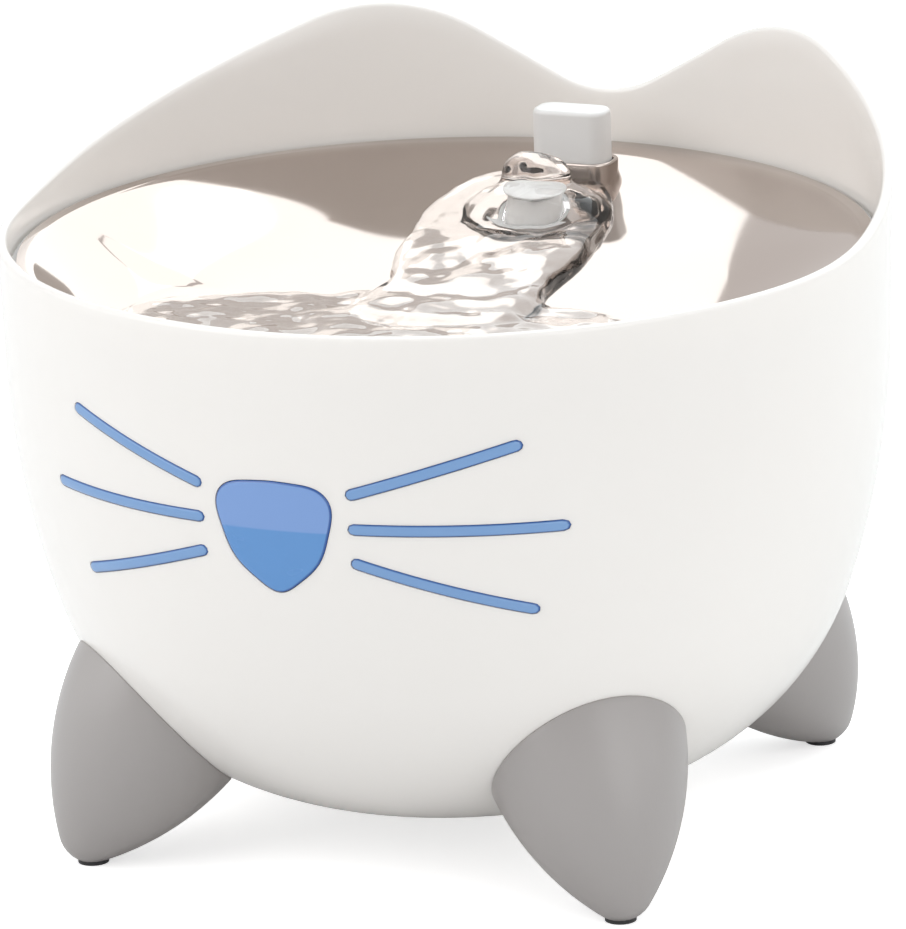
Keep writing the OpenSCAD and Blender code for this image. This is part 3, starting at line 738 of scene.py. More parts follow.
@dataclass
class Bowl:
    """The eared bowl: its side is two arcs that meet smoothly, and an upright rim."""

    wall: float = 3 * MM
    base_z: float = 17 * MM
    waist_r: float = 125 * MM
    waist_z: float = 145 * MM
    flank_r: float = 250 * MM
    knee_r: float = 81.5 * MM
    base_slope: float = 21.0
    rim_flare: float = 2 * MM
    rim_z: float = 173 * MM
    ear_z: float = 207 * MM
    ear_angle: float = 148.0
    ear_tip_r: float = 60 * MM
    ear_blend_r: float = 60 * MM
    front_slope: float = 18.0
    rear_slope: float = 31.0
    valley_z: float = 181 * MM
    rim_round: float = 1.35 * MM
    rim_segments: int = 3
    rim_margin: float = 2 * MM
    rim_rounds: int = 3
    waist_margin: float = 0.1 * MM
    sharp: float = 32.0
    columns: int = 288
    knee_rows: int = 18
    flank_rows: int = 10
    upright_rows: int = 8
    ledge_r: float = 118.3 * MM
    ledge_z: float = 163.6 * MM
    ledge_h: float = 4 * MM
    post_hole: tuple[float, float, float] = (5 * MM, 10 * MM, 30 * MM)  # radius, low and high
    post_y: float = 43.007 * MM

    def __post_init__(self) -> None:
        """Works out the two arcs' middles."""
        self.knee_c = self.base_z + self.knee_r * math.cos(math.radians(self.base_slope))
        self.turn = math.asin((self.waist_z - self.knee_c) / (self.flank_r - self.knee_r))
        self.flank_x = self.waist_r - self.flank_r
        self.knee_x = self.flank_x + (self.flank_r - self.knee_r) * math.cos(self.turn)
        self.knee_z = self.waist_z - self.flank_r * math.sin(self.turn)

    def lip_r(self, z: float) -> float:
        """Outer radius of the upright rim at a height."""
        return self.waist_r + self.rim_flare * (z - self.waist_z) / (self.ear_z - self.waist_z)

    def side_r(self, z: float, inset: float = 0.0) -> float:
        """Radius of the bowl's side at a height, moved inwards by inset."""
        if z > self.waist_z:
            return self.lip_r(z) - inset
        if z > self.knee_z:
            return self.flank_x + math.sqrt((self.flank_r - inset) ** 2 - (self.waist_z - z) ** 2)
        return self.knee_x + math.sqrt((self.knee_r - inset) ** 2 - (self.knee_c - z) ** 2)

    def front_y(self, x: float, z: float, proud: float = 0.0) -> float:
        """Y of the bowl's front surface at a place, raised by proud."""
        return -math.sqrt(self.side_r(z, -proud) ** 2 - x * x)

    def ear_height(self, s: float) -> float:
        """Height of the ear's outline at a distance s from its tip, positive towards the back."""
        f, g, r = math.radians(self.front_slope), math.radians(self.rear_slope), self.ear_tip_r
        tip_c = self.ear_z - r
        front_x = -r * math.sin(f)
        foot_x = front_x - (tip_c + r * math.cos(f) - self.rim_z) / math.tan(f)
        blend_x = foot_x - self.ear_blend_r * math.tan(f / 2)
        valley_x = self.lip_r(self.valley_z) * math.sin(math.radians(180 - self.ear_angle))
        low = tip_c + r * math.cos(g) - math.tan(g) * (valley_x - r * math.sin(g))
        valley_r = (self.valley_z - low) * math.cos(g) / (1 - math.cos(g))
        if s < blend_x:
            return self.rim_z
        if s < blend_x + self.ear_blend_r * math.sin(f):
            return self.rim_z + self.ear_blend_r - math.sqrt(self.ear_blend_r**2 - (s - blend_x) ** 2)
        if s < front_x:
            return tip_c + r * math.cos(f) + (s - front_x) * math.tan(f)
        if s < r * math.sin(g):
            return tip_c + math.sqrt(r * r - s * s)
        if s < valley_x - valley_r * math.sin(g):
            return tip_c + r * math.cos(g) - (s - r * math.sin(g)) * math.tan(g)
        return self.valley_z + valley_r - math.sqrt(max(0.0, valley_r**2 - (s - valley_x) ** 2))

    def rim_height(self, x: float, y: float) -> float:
        """Height of the rim in the direction of a point."""
        angle = math.degrees(math.atan2(abs(x), -y)) - self.ear_angle
        if angle < -90:
            return self.rim_z
        z = self.rim_z
        for _ in range(self.rim_rounds):
            z = self.ear_height(self.lip_r(z) * math.sin(math.radians(angle)))
        return z

    def profile(self) -> list[Point2]:
        """Side of the bowl from its base to the ears' height, as (radius, height) points."""
        start = -math.degrees(math.asin((self.knee_c - self.base_z) / self.knee_r))
        turn = math.degrees(self.turn)
        knee = arc(self.knee_x, self.knee_c, self.knee_r, start, -turn, self.knee_rows)
        flank = arc(self.flank_x, self.waist_z, self.flank_r, -turn, 0, self.flank_rows)
        rows = self.upright_rows
        upright = [self.waist_z + (self.ear_z - self.waist_z) * i / rows for i in range(1, rows + 1)]
        return knee + flank[1:] + [(self.lip_r(z), z) for z in upright]

    def shell(self) -> Object:
        """Models the bowl: a spun skin, ears drawn up, a wall, a rounded rim and the ledge inside.

        Returns:
            The bowl, without its openings.
        """
        bowl = spun("bowl_shell", [(0, self.base_z), *self.profile()], self.columns)
        span = self.ear_z - self.waist_z
        for vertex in bowl.data.vertices:
            if vertex.co.z > self.waist_z + self.waist_margin:
                share = (vertex.co.z - self.waist_z) / span
                top = self.rim_height(vertex.co.x, vertex.co.y)
                z = self.waist_z + share * (top - self.waist_z)
                flat = Vector((vertex.co.x, vertex.co.y)).normalized() * self.lip_r(z)
                vertex.co = (flat.x, flat.y, z)
        modify(bowl, "SOLIDIFY", thickness=self.wall, offset=-1, use_even_offset=True, use_rim=True)
        with EditMode(bowl, "FACE") as edit:
            edit.round_border(
                lambda f: f.normal.z > 0.5 and f.calc_center_median().z > self.rim_z - self.rim_margin,
                self.rim_round, self.rim_segments,
            )
        r, top, low = self.ledge_r, self.ledge_z, self.ledge_z - self.ledge_h
        step = self.waist_r - self.wall / 2 - r
        ledge = spun("ledge", [(r, top), (r + step, top), (r + step, low - step), (r, low), (r, top)], self.columns)
        return boolean(bowl, ledge, "UNION")

    def build(self, face: "Face") -> Object:
        """Models the bowl with its openings and dresses it.

        Args:
            face: the nose and whiskers, whose places are cut into the bowl.

        Returns:
            The bowl.
        """
        bowl = self.shell()
        boolean(bowl, face.lens_cutter(self))
        for side in (-1, 1):
            for i in range(len(face.whisker_ends)):
                boolean(bowl, face.whisker_cutter(self, i, side))
        drilled(bowl, *self.post_hole, Matrix.Translation((0, self.post_y, 0)))
        smooth(bowl, self.sharp)
        return finished(bowl, "root", Finishes.SHELL, "white_shell", ["bowl"])


def blended(a: float, b: float, width: float) -> float:
    """The larger of two heights, with a smooth change where they lie close together."""
    share = max(width - abs(a - b), 0.0) / width
    return max(a, b) + share * share * width / 4


# ---------------------------------------------------------------- face


@dataclass
class Face:
    """The nose lens and the whiskers, set into the front of the bowl."""

    nose_z: float = 117 * MM
    circles: Sequence[tuple[float, float, float]] = ((10.4, 6.9, 7), (2.6, 0, 12), (0, -15.1, 3.5), (0, -0.3, 15))
    proud: float = 0.4 * MM
    sunk: float = 0.3 * MM
    round_r: float = 1.1 * MM
    lens_shares: Sequence[float] = (
        0, 0.15, 0.3, 0.45, 0.6, 0.72, 0.81, 0.87, 0.91, 0.94, 0.96, 0.975, 0.987, 0.995, 1,
    )
    lens_depth: float = 5.5 * MM
    lens_gap: float = 0.15 * MM
    whisker_w: float = 3.3 * MM
    whisker_x: float = 22.7 * MM
    whisker_rise: float = 1.9 * MM
    whisker_pitch: float = 10 * MM
    whisker_depth: float = 0.8 * MM
    whisker_gap: float = 0.1 * MM
    whisker_ends: Sequence[Point2] = ((64.5, 24.8), (74.2, 1.1), (65.3, -22.7))
    whisker_rings: Sequence[float] = (0.25 * MM, 0.35 * MM, 0.5 * MM)
    whisker_count: int = 84
    outline_count: int = 120
    outline_soft: int = 3
    sharp: float = 40.0
    cutter_front: float = 6 * MM
    cutter_back: float = 1 * MM

    def nose_outline(self, grow: float = 0.0) -> list[Point2]:
        """Outline of the nose as (x, z) points: the tight band round its circles.

        Args:
            grow: how far the outline is moved outwards.

        Returns:
            The points, in order.
        """
        circles = [(side * x * MM, z * MM, r * MM) for x, z, r in self.circles for side in (-1, 1)]
        points = []
        for i in range(self.outline_count):
            angle = TURN * i / self.outline_count
            out = Vector((math.cos(angle), math.sin(angle)))
            x, z, r = max(circles, key=lambda c: c[0] * out.x + c[1] * out.y + c[2])
            points.append((x + (r + grow) * out.x, self.nose_z + z + (r + grow) * out.y))
        points = evenly_spaced(points, self.outline_count)
        for _ in range(2):
            points = softened(points, self.outline_soft)
        return points

    def whisker_outline(self, index: int, side: int, grow: float = 0.0) -> list[Point2]:
        """Outline of one whisker as (x, z) points: a bar with round ends.

        Args:
            index: the whisker's number from the top.
            side: 1 for the right, -1 for the left.
            grow: how far the outline is moved outwards.

        Returns:
            The points, in order.
        """
        start = Vector((self.whisker_x, self.nose_z + self.whisker_rise + (1 - index) * self.whisker_pitch))
        end = Vector((self.whisker_ends[index][0] * MM, self.nose_z + self.whisker_ends[index][1] * MM))
        heading = math.degrees(math.atan2(end.y - start.y, end.x - start.x))
        r = self.whisker_w / 2 + grow
        far = arc(end.x, end.y, r, heading - 90, heading + 90, 10)
        near = arc(start.x, start.y, r, heading + 90, heading + 270, 10)
        points = evenly_spaced(far + near, self.whisker_count)
        return [(side * x, z) for x, z in points]

    def whisker(self, name: str, bowl: Bowl, outline: Sequence[Point2]) -> Object:
        """Models a whisker: a raised inlay with a rolled edge, laid on the bowl's curve.

        Args:
            name: the new object's name.
            bowl: the bowl that it lies in.
            outline: its outline as (x, z) points.

        Returns:
            The whisker.
        """
        piece = outline_face(name, [Vector((x, 0, z)) for x, z in outline])
        with EditMode(piece, "FACE") as edit:
            edit.all()
            for width in self.whisker_rings:
                bpy.ops.mesh.inset(thickness=width, depth=0)
            edit.triangulate()
            edit.all()
            bpy.ops.mesh.remove_doubles(threshold=0.02 * MM)
        for vertex in piece.data.vertices:
            x, z = vertex.co.x, vertex.co.z
            vertex.co.y = bowl.front_y(x, z, self.lift_at(distance_to_edge((x, z), outline)))
        return self.backed(piece, outline, self.whisker_depth)

    def lift_at(self, edge: float) -> float:
        """Height of an inlay over the bowl at a distance from its edge."""
        roll = 1 - min(edge / self.round_r, 1)
        return self.proud - (self.proud + self.sunk) * (1 - math.sqrt(max(0.0, 1 - roll * roll)))

    def backed(self, piece: Object, outline: Sequence[Point2], depth: float) -> Object:
        """Turns a skin to the front and gives it a thickness behind.

        Args:
            piece: the skin.
            outline: its outline, whose distance is kept on each vertex for the finish's painted shade along the
                outline.
            depth: the thickness.

        Returns:
            The same object.
        """
        # distance to the outline, which the finish uses for its painted shade along the edge
        edge = piece.data.attributes.new(EDGE, "FLOAT", "POINT")
        for vertex in piece.data.vertices:
            edge.data[vertex.index].value = distance_to_edge((vertex.co.x, vertex.co.z), outline)
        return smooth(thickened(piece, FRONT, depth), self.sharp)

    def lens(self, bowl: Bowl) -> Object:
        """Models the nose lens: rings that shrink from its outline to its middle, laid on the bowl."""
        outline = self.nose_outline()

        def place(row: int, angle: float) -> Vector:
            """Point on the lens for a ring and an angle."""
            share = self.lens_shares[row]
            x, z = outline[round(angle / TURN * self.outline_count) % self.outline_count]
            x, z = x * share, self.nose_z + (z - self.nose_z) * share
            return Vector((x, bowl.front_y(x, z, self.lift_at(distance_to_edge((x, z), outline))), z))

        skin = ringed("nose_lens_gloss", len(self.lens_shares), self.outline_count, place, Ends.OPEN)
        return self.backed(skin, outline, self.lens_depth)

    def cutter(self, name: str, bowl: Bowl, outline: Sequence[Point2], depth: float) -> Object:
        """Models a solid that cuts the bowl's front to an even depth under its surface."""
        tool = outline_face(name, [Vector((x, 0, z)) for x, z in outline])
        with EditMode(tool, "FACE") as edit:
            edit.all()
            edit.triangulate()
        for vertex in tool.data.vertices:
            vertex.co.y = bowl.front_y(vertex.co.x, vertex.co.z, -depth)
        with EditMode(tool, "FACE") as edit:
            edit.extrude((0, -(depth + self.cutter_front), 0))
        return tool

    def lens_cutter(self, bowl: Bowl) -> Object:
        """Solid that cuts the nose's hole through the bowl's wall."""
        return self.cutter("lens_cutter", bowl, self.nose_outline(self.lens_gap), bowl.wall + self.cutter_back)

    def whisker_cutter(self, bowl: Bowl, index: int, side: int) -> Object:
        """Solid that cuts one whisker's recess."""
        outline = self.whisker_outline(index, side, self.whisker_gap)
        return self.cutter("whisker_cutter", bowl, outline, self.whisker_depth)

    def build(self, bowl: Bowl) -> list[Object]:
        """Models and dresses the lens and both sets of whiskers.

        Args:
            bowl: the bowl that they are set into.

        Returns:
            The lens, then the left and the right whiskers.
        """
        pieces = [finished(self.lens(bowl), "root", Finishes.LENS, "blue_lens", ["nose_lens"])]
        for side, word in ((-1, "left"), (1, "right")):
            bars = [
                self.whisker(f"whisker_{word}_{i}", bowl, self.whisker_outline(i, side))
                for i in range(len(self.whisker_ends))
            ]
            whiskers = smooth(joined(f"whiskers_{word}_gloss", bars), self.sharp)
            pieces.append(finished(whiskers, "root", Finishes.INLAY, "blue_inlay", [f"whiskers_{word}"]))
        return pieces


def softened(points: Sequence[Point2], reach: int) -> list[Point2]:
    """Moves each corner of a closed outline to the middle of those within reach of it."""
    total, width = len(points), 2 * reach + 1
    return [
        tuple(sum(points[(i + k) % total][axis] for k in range(-reach, reach + 1)) / width for axis in (0, 1))
        for i in range(total)
    ]


def evenly_spaced(points: Sequence[Point2], count: int) -> list[Point2]:
    """Resamples a closed outline to points that lie the same distance apart.

    Args:
        points: the outline's corners in order.
        count: how many points to give back.

    Returns:
        The new points, in order.
    """
    corners = [Vector(p) for p in points]
    lengths = [(corners[(i + 1) % len(corners)] - c).length for i, c in enumerate(corners)]
    step = sum(lengths) / count
    result, index, walked = [], 0, 0.0
    for i in range(count):
        target = i * step
        while walked + lengths[index] < target:
            walked += lengths[index]
            index += 1
        share = (target - walked) / max(lengths[index], TINY)
        place = corners[index].lerp(corners[(index + 1) % len(corners)], share)
        result.append((place.x, place.y))
    return result


# ---------------------------------------------------------------- feet


@dataclass
class Feet:
    """Four pointed cone feet with bowed sides, cut to the bowl's surface."""

    reach: float = 113 * MM
    angle: float = 45.0
    lean: float = 34.0
    cone_r: float = 29.2 * MM
    cone_l: float = 62 * MM
    tip_r: float = 9.5 * MM
    pad_r: float = 4.4 * MM
    neck: float = 15.0
    seam_gap: float = 0.05 * MM
    seam_round: float = 0.7 * MM
    halvings: int = 40
    samples: int = 32
    side_rows: int = 40
    roll_rows: int = 5
    cap_rows: int = 10
    steps: int = 128

    def skin(self, bowl: Bowl) -> Object:
        """Models one foot at the front, before it is turned to its own corner.

        Its rings run from the tip to the seam with the bowl, roll over there and close along the
        bowl's surface.

        Args:
            bowl: the bowl that the foot meets.

        Returns:
            The foot.
        """
        bow_r = (self.cone_l**2 + self.cone_r**2) / (2 * self.cone_r)
        tip_c = self.cone_l - math.sqrt((bow_r - self.tip_r) ** 2 - (bow_r - self.cone_r) ** 2)
        start = math.degrees(math.asin((self.cone_l - tip_c) / (bow_r - self.tip_r)))
        tip_run = self.tip_r * math.radians(90 - start)
        side_run = bow_r * math.radians(start + self.neck)
        lean = (
            Matrix.Translation((0, -self.reach, self.tip_r))
            @ Matrix.Rotation(math.radians(-self.lean), 4, "X")
            @ Matrix.Translation((0, 0, -tip_c))
        )
        pad_t = self.tip_r - math.sqrt(self.tip_r**2 - self.pad_r**2)

        def on_cone(run: float, angle: float, sunk: float = 0.0) -> Vector:
            """Point at a distance along the cone's side from the middle of its tip."""
            if run < tip_run:
                turn = -math.pi / 2 + run / self.tip_r
                r, z = (self.tip_r - sunk) * math.cos(turn), tip_c + (self.tip_r - sunk) * math.sin(turn)
            else:
                turn = -math.radians(start) + (run - tip_run) / bow_r
                r = self.cone_r - bow_r + (bow_r - sunk) * math.cos(turn)
                z = self.cone_l + (bow_r - sunk) * math.sin(turn)
            return lean @ Vector((r * math.cos(angle), r * math.sin(angle), z))

        def on_bowl(point: Vector) -> Vector:
            """The point moved sideways to just outside the bowl's surface."""
            z = max(point.z, bowl.base_z)
            flat = Vector((point.x, point.y)).normalized() * (bowl.side_r(z) + self.seam_gap)
            return Vector((flat.x, flat.y, point.z))

        def is_inside(point: Vector) -> bool:
            """Whether a point lies within the bowl's outer surface."""
            if point.z < bowl.base_z:
                return False
            return math.hypot(point.x, point.y) < bowl.side_r(point.z) + self.seam_gap

        seams: dict[float, float] = {}

        def seam_run(angle: float) -> float:
            """Distance along the cone at which it meets the bowl."""
            key = round(angle, 6)
            if key not in seams:
                low, high = tip_run, tip_run + side_run
                for _ in range(self.halvings):
                    middle = (low + high) / 2
                    low, high = (low, middle) if is_inside(on_cone(middle, angle)) else (middle, high)
                seams[key] = low
            return seams[key]

        angles = [TURN * i / self.samples for i in range(self.samples)]
        middle = sum((on_cone(seam_run(angle), angle) for angle in angles), Vector()) / self.samples

        def place(row: int, angle: float) -> Vector:
            """Point on the foot for a ring and an angle."""
            end = seam_run(angle)
            if row <= self.side_rows:
                point = on_cone((end - self.seam_round) * row / self.side_rows, angle)
                return Vector((point.x, point.y, max(point.z, pad_t)))
            row -= self.side_rows
            if row <= self.roll_rows:
                bend = math.pi / 2 * row / self.roll_rows
                run = end - self.seam_round * (1 - math.sin(bend))
                return on_cone(run, angle, self.seam_round * (1 - math.cos(bend)))
            edge = on_cone(end, angle, self.seam_round)
            return on_bowl(edge.lerp(middle, (row - self.roll_rows) / self.cap_rows))

        rows = self.side_rows + self.roll_rows + self.cap_rows + 1
        return ringed("foot", rows, self.steps, place, Ends.POINTS)

    def build(self, bowl: Bowl) -> list[Object]:
        """Models one foot, then turns copies of it to the four corners.

        Args:
            bowl: the bowl that the feet meet.

        Returns:
            The four feet.
        """
        foot = smooth(self.skin(bowl))
        corners = {
            "front_left": -self.angle, "front_right": self.angle,
            "rear_left": 180 + self.angle, "rear_right": 180 - self.angle,
        }
        feet = []
        for word, angle in corners.items():
            piece = copied(foot, f"foot_{word}_satin", Matrix.Rotation(math.radians(angle), 4, "Z"))
            feet.append(finished(piece, "root", Finishes.FOOT, "grey_foot", [f"foot_{word}"]))
        bpy.data.objects.remove(foot)
        return feet


# ---------------------------------------------------------------- dish


@dataclass
class Dish:
    """The steel drinking dish: a flange, a side and a floor that falls to the front.

    The side's slope changes round the dish: shallow at the back, steep at the front.
    """

    wall_r: float = 118 * MM
    top_z: float = 166 * MM
    sheet: float = 1.2 * MM
    floor_z: float = 147.8 * MM
    floor_flat: float = 79.57 * MM
    floor_curve: float = 110 * MM
    tilt: float = 5.0
    draft: float = 35.0
    corner_blend: float = 8 * MM
    lip_blend: float = 0.9 * MM
    back_slope: float = 16.0
    side_slope: float = 30.0
    pool_z: float = 148.5 * MM
    hole_low: float = 140 * MM
    hole_high: float = 175 * MM
    return_r: float = 2 * MM
    return_count: int = 9
    return_pitch: float = 6.0
    return_reach: float = 100.5 * MM
    return_depth: float = 40 * MM
    side_ease: float = 0.7
    floor_rounds: int = 6
    sharp: float = 28.0
    nozzle_y: float = 67.007 * MM
    nozzle_hole_r: float = 9.3 * MM
    float_y: float = 97 * MM
    float_hole: tuple[float, float, float] = (26.2 * MM, 15.6 * MM, 6.3 * MM)
    rings: Sequence[float] = (
        0, 12, 24, 36, 48, 58, 66, 73, *(79 + 1.5 * i for i in range(23)),
        113.5, 114.2, 114.8, 115.3, 115.7, 116.1, 116.4, 116.7, 117.0, 117.4, 118.2, 119.2, 120.0, 120.5,
    )
    steps: int = 256

    def floor_at(self, x: float, y: float) -> float:
        """Height of the dish floor's upper face at a place."""
        turn = math.radians(self.tilt)
        z = self.floor_z
        for _ in range(self.floor_rounds):
            across = math.hypot(x, y * math.cos(turn) + (z - self.floor_z) * math.sin(turn)) - self.floor_flat
            rise = self.floor_curve - math.sqrt(self.floor_curve**2 - across**2) if across > 0 else 0.0
            z = self.floor_z + (rise + y * math.sin(turn)) / math.cos(turn)
        return z

    def wall_at(self, z: float) -> float:
        """Inner radius of the dish's wall at a height."""
        lean = math.radians(self.draft)
        return self.wall_r - self.sheet / math.cos(lean) - (self.top_z - z) * math.tan(lean)

    def side_slope_at(self, x: float, y: float) -> float:
        """Slope of the dish's side in degrees: shallow at the back, steep at the front."""
        share = y / max(math.hypot(x, y), MM)
        if share > 0:
            return self.side_slope + (self.back_slope - self.side_slope) * share**self.side_ease
        return self.side_slope + (90 - self.draft - self.side_slope) * math.sqrt(-share)

    def height_at(self, x: float, y: float) -> float:
        """Height of the dish's upper face at a place: floor, side and flange run into each other."""
        past = math.hypot(x, y) - self.wall_at(self.top_z)
        slope = 90 - self.draft if past > 0 else self.side_slope_at(x, y)
        wall = self.top_z + past * math.tan(math.radians(slope))
        bowl = blended(self.floor_at(x, y), wall, self.corner_blend)
        return -blended(-bowl, -self.top_z, self.lip_blend)

    def pressing(self) -> Object:
        """Models the dish as one pressed sheet: rings laid on its upper face, then a thickness.

        Returns:
            The dish without its holes.
        """

        def place(row: int, angle: float) -> Vector:
            """Point on the dish for a ring and an angle."""
            r = self.rings[row] * MM
            x, y = r * math.cos(angle), r * math.sin(angle)
            return Vector((x, y, self.height_at(x, y)))

        dish = ringed("dish_steel", len(self.rings), self.steps, place, Ends.OPEN)
        return thickened(dish, UP, self.sheet)

    def build(self) -> Object:
        """Models the dish with its holes and dresses it.

        Returns:
            The dish.
        """
        dish = self.pressing()
        drilled(
            dish, self.nozzle_hole_r, self.hole_low, self.hole_high,
            Matrix.Translation((0, self.nozzle_y, 0)), ROUND,
        )
        outline = [Vector((x, self.float_y + y, self.hole_low)) for x, y in rounded_box(*self.float_hole)]
        boolean(dish, raised("float_hole", outline, (0, 0, self.hole_high - self.hole_low)))
        level = Matrix.Translation((0, -self.return_reach, self.pool_z + self.return_r))
        lying = Matrix.Rotation(math.radians(90), 4, "X")
        for i in range(self.return_count):
            turn = Matrix.Rotation(math.radians((i - (self.return_count - 1) / 2) * self.return_pitch), 4, "Z")
            drilled(dish, self.return_r, 0, self.return_depth, turn @ level @ lying, SMALL_ROUND)
        smooth(dish, self.sharp)
        return finished(dish, "dish", Finishes.STEEL, "steel_dish", ["dish"])


# ---------------------------------------------------------------- float and nozzle


@dataclass
class LevelFloat:
    """The white float block that stands in its steel sleeve."""

    middle_y: float = 97 * MM
    width: float = 22.6 * MM
    depth: float = 12 * MM
    corner: float = 4.5 * MM
    top_z: float = 181.6 * MM
    low_z: float = 140.4 * MM
    top_round: float = 1.4 * MM
    sleeve_top: float = 166.7 * MM
    sleeve_low: float = 148.7 * MM
    sleeve_wall: float = 1.4 * MM
    fit: float = 0.4 * MM
    flare: float = 0.9 * MM
    flare_rows: Sequence[Point2] = (
        (1, -0.1), (0.7, 0.15), (0.45, 0.5), (0.27, 1.0), (0.13, 1.8), (0.04, 3.0), (0, 4.5),
    )
    lip_r: float = 0.7 * MM
    sharp: float = 35.0
    sleeve_sharp: float = 50.0

    def outline(self, grow: float, z: float) -> list[Vector]:
        """Outline of the block grown by a distance, at a height."""
        points = rounded_box(self.width + 2 * grow, self.depth + 2 * grow, self.corner + grow, 10)
        return [Vector((x, self.middle_y + y, z)) for x, y in points]

    def block(self) -> Object:
        """Models the float block with a rolled top edge."""
        block = raised("float_block_white", self.outline(0, self.low_z), (0, 0, self.top_z - self.low_z))
        with EditMode(block, "FACE") as edit:
            edit.round_border(lambda f: f.normal.z > 0.9, self.top_round, 5)
        smooth(block, self.sharp)
        return finished(block, "level_float", Finishes.FITTING, "white_fitting", ["float_block"])

    def sleeve(self, dish: Dish) -> Object:
        """Models the sleeve: a tube with a rolled top and a foot that runs out into the dish's floor.

        Args:
            dish: the dish that the sleeve stands in.

        Returns:
            The sleeve.
        """
        outer = self.fit + self.sleeve_wall
        rows: list[tuple[float, float, bool]] = []
        rows += [(outer + self.flare * share, z * MM, True) for share, z in self.flare_rows]
        for x, z in arc(outer - self.lip_r, self.sleeve_top - self.lip_r, self.lip_r, 0, 180, 8):
            rows.append((max(x, self.fit), z, False))
        rows.append((self.fit, self.sleeve_low, False))
        columns = len(self.outline(0, 0))

        def place(row: int, angle: float) -> Vector:
            """Point on the sleeve for a ring and an angle."""
            grow, z, on_floor = rows[row]
            point = self.outline(grow, z)[round(angle / TURN * columns) % columns]
            if on_floor:
                point.z += dish.floor_at(point.x, point.y)
            return point

        sleeve = smooth(ringed("float_sleeve_steel", len(rows), columns, place, Ends.LOOP), self.sleeve_sharp)
        return finished(sleeve, "dish", Finishes.SLEEVE, "steel_dish", ["float_guide"])

    def build(self, dish: Dish) -> list[Object]:
        """Models and dresses the block and its sleeve."""
        return [self.block(), self.sleeve(dish)]


@dataclass
class Nozzle:
    """The domed cap on three legs over the nozzle's mouth."""

    middle_y: float = 67.007 * MM
    mouth_z: float = 161.4 * MM
    gap: float = 1.4 * MM
    cap_r: float = 9 * MM
    cap_t: float = 1.2 * MM
    dome: float = 1.4 * MM
    leg_ring: float = 6.05 * MM
    leg_r: float = 1.4 * MM
    leg_foot: float = 1.15
    leg_seat: float = 0.4 * MM
    leg_count: int = 3
    leg_turn: float = 30.0
    sharp: float = 35.0

    def build(self) -> Object:
        """Models the cap with a rolled edge, and its legs, and dresses it.

        Returns:
            The cap.
        """
        low = self.mouth_z + self.gap
        edge = low + self.cap_t
        dome_r = (self.cap_r**2 + self.dome**2) / (2 * self.dome)
        r = self.cap_t / 2
        rim = arc(self.cap_r - r, low + r, r, -90, 60, 8)
        top = arc(0, edge + self.dome - dome_r, dome_r, 84, 90, 8)
        cap = spun("nozzle_cap_white", [(0, low), *rim, *top[1:]], ROUND)
        foot, seat = self.mouth_z + self.leg_seat, low + self.leg_seat
        profile = [(0, self.mouth_z), (self.leg_r * self.leg_foot, self.mouth_z)]
        profile += [(self.leg_r, foot), (self.leg_r, seat), (0, seat)]
        legs = []
        for i in range(self.leg_count):
            leg = spun(f"leg_{i}", profile, SMALL_ROUND)
            turn = Matrix.Rotation(math.radians(360 / self.leg_count * i + self.leg_turn), 4, "Z")
            leg.data.transform(turn @ Matrix.Translation((self.leg_ring, 0, 0)))
            legs.append(leg)
        piece = joined("nozzle_cap_white", [cap, *legs])
        piece.data.transform(Matrix.Translation((0, self.middle_y, 0)))
        smooth(piece, self.sharp)
        return finished(piece, "nozzle", Finishes.FITTING, "white_fitting", ["nozzle_cap"])


# ---------------------------------------------------------------- water


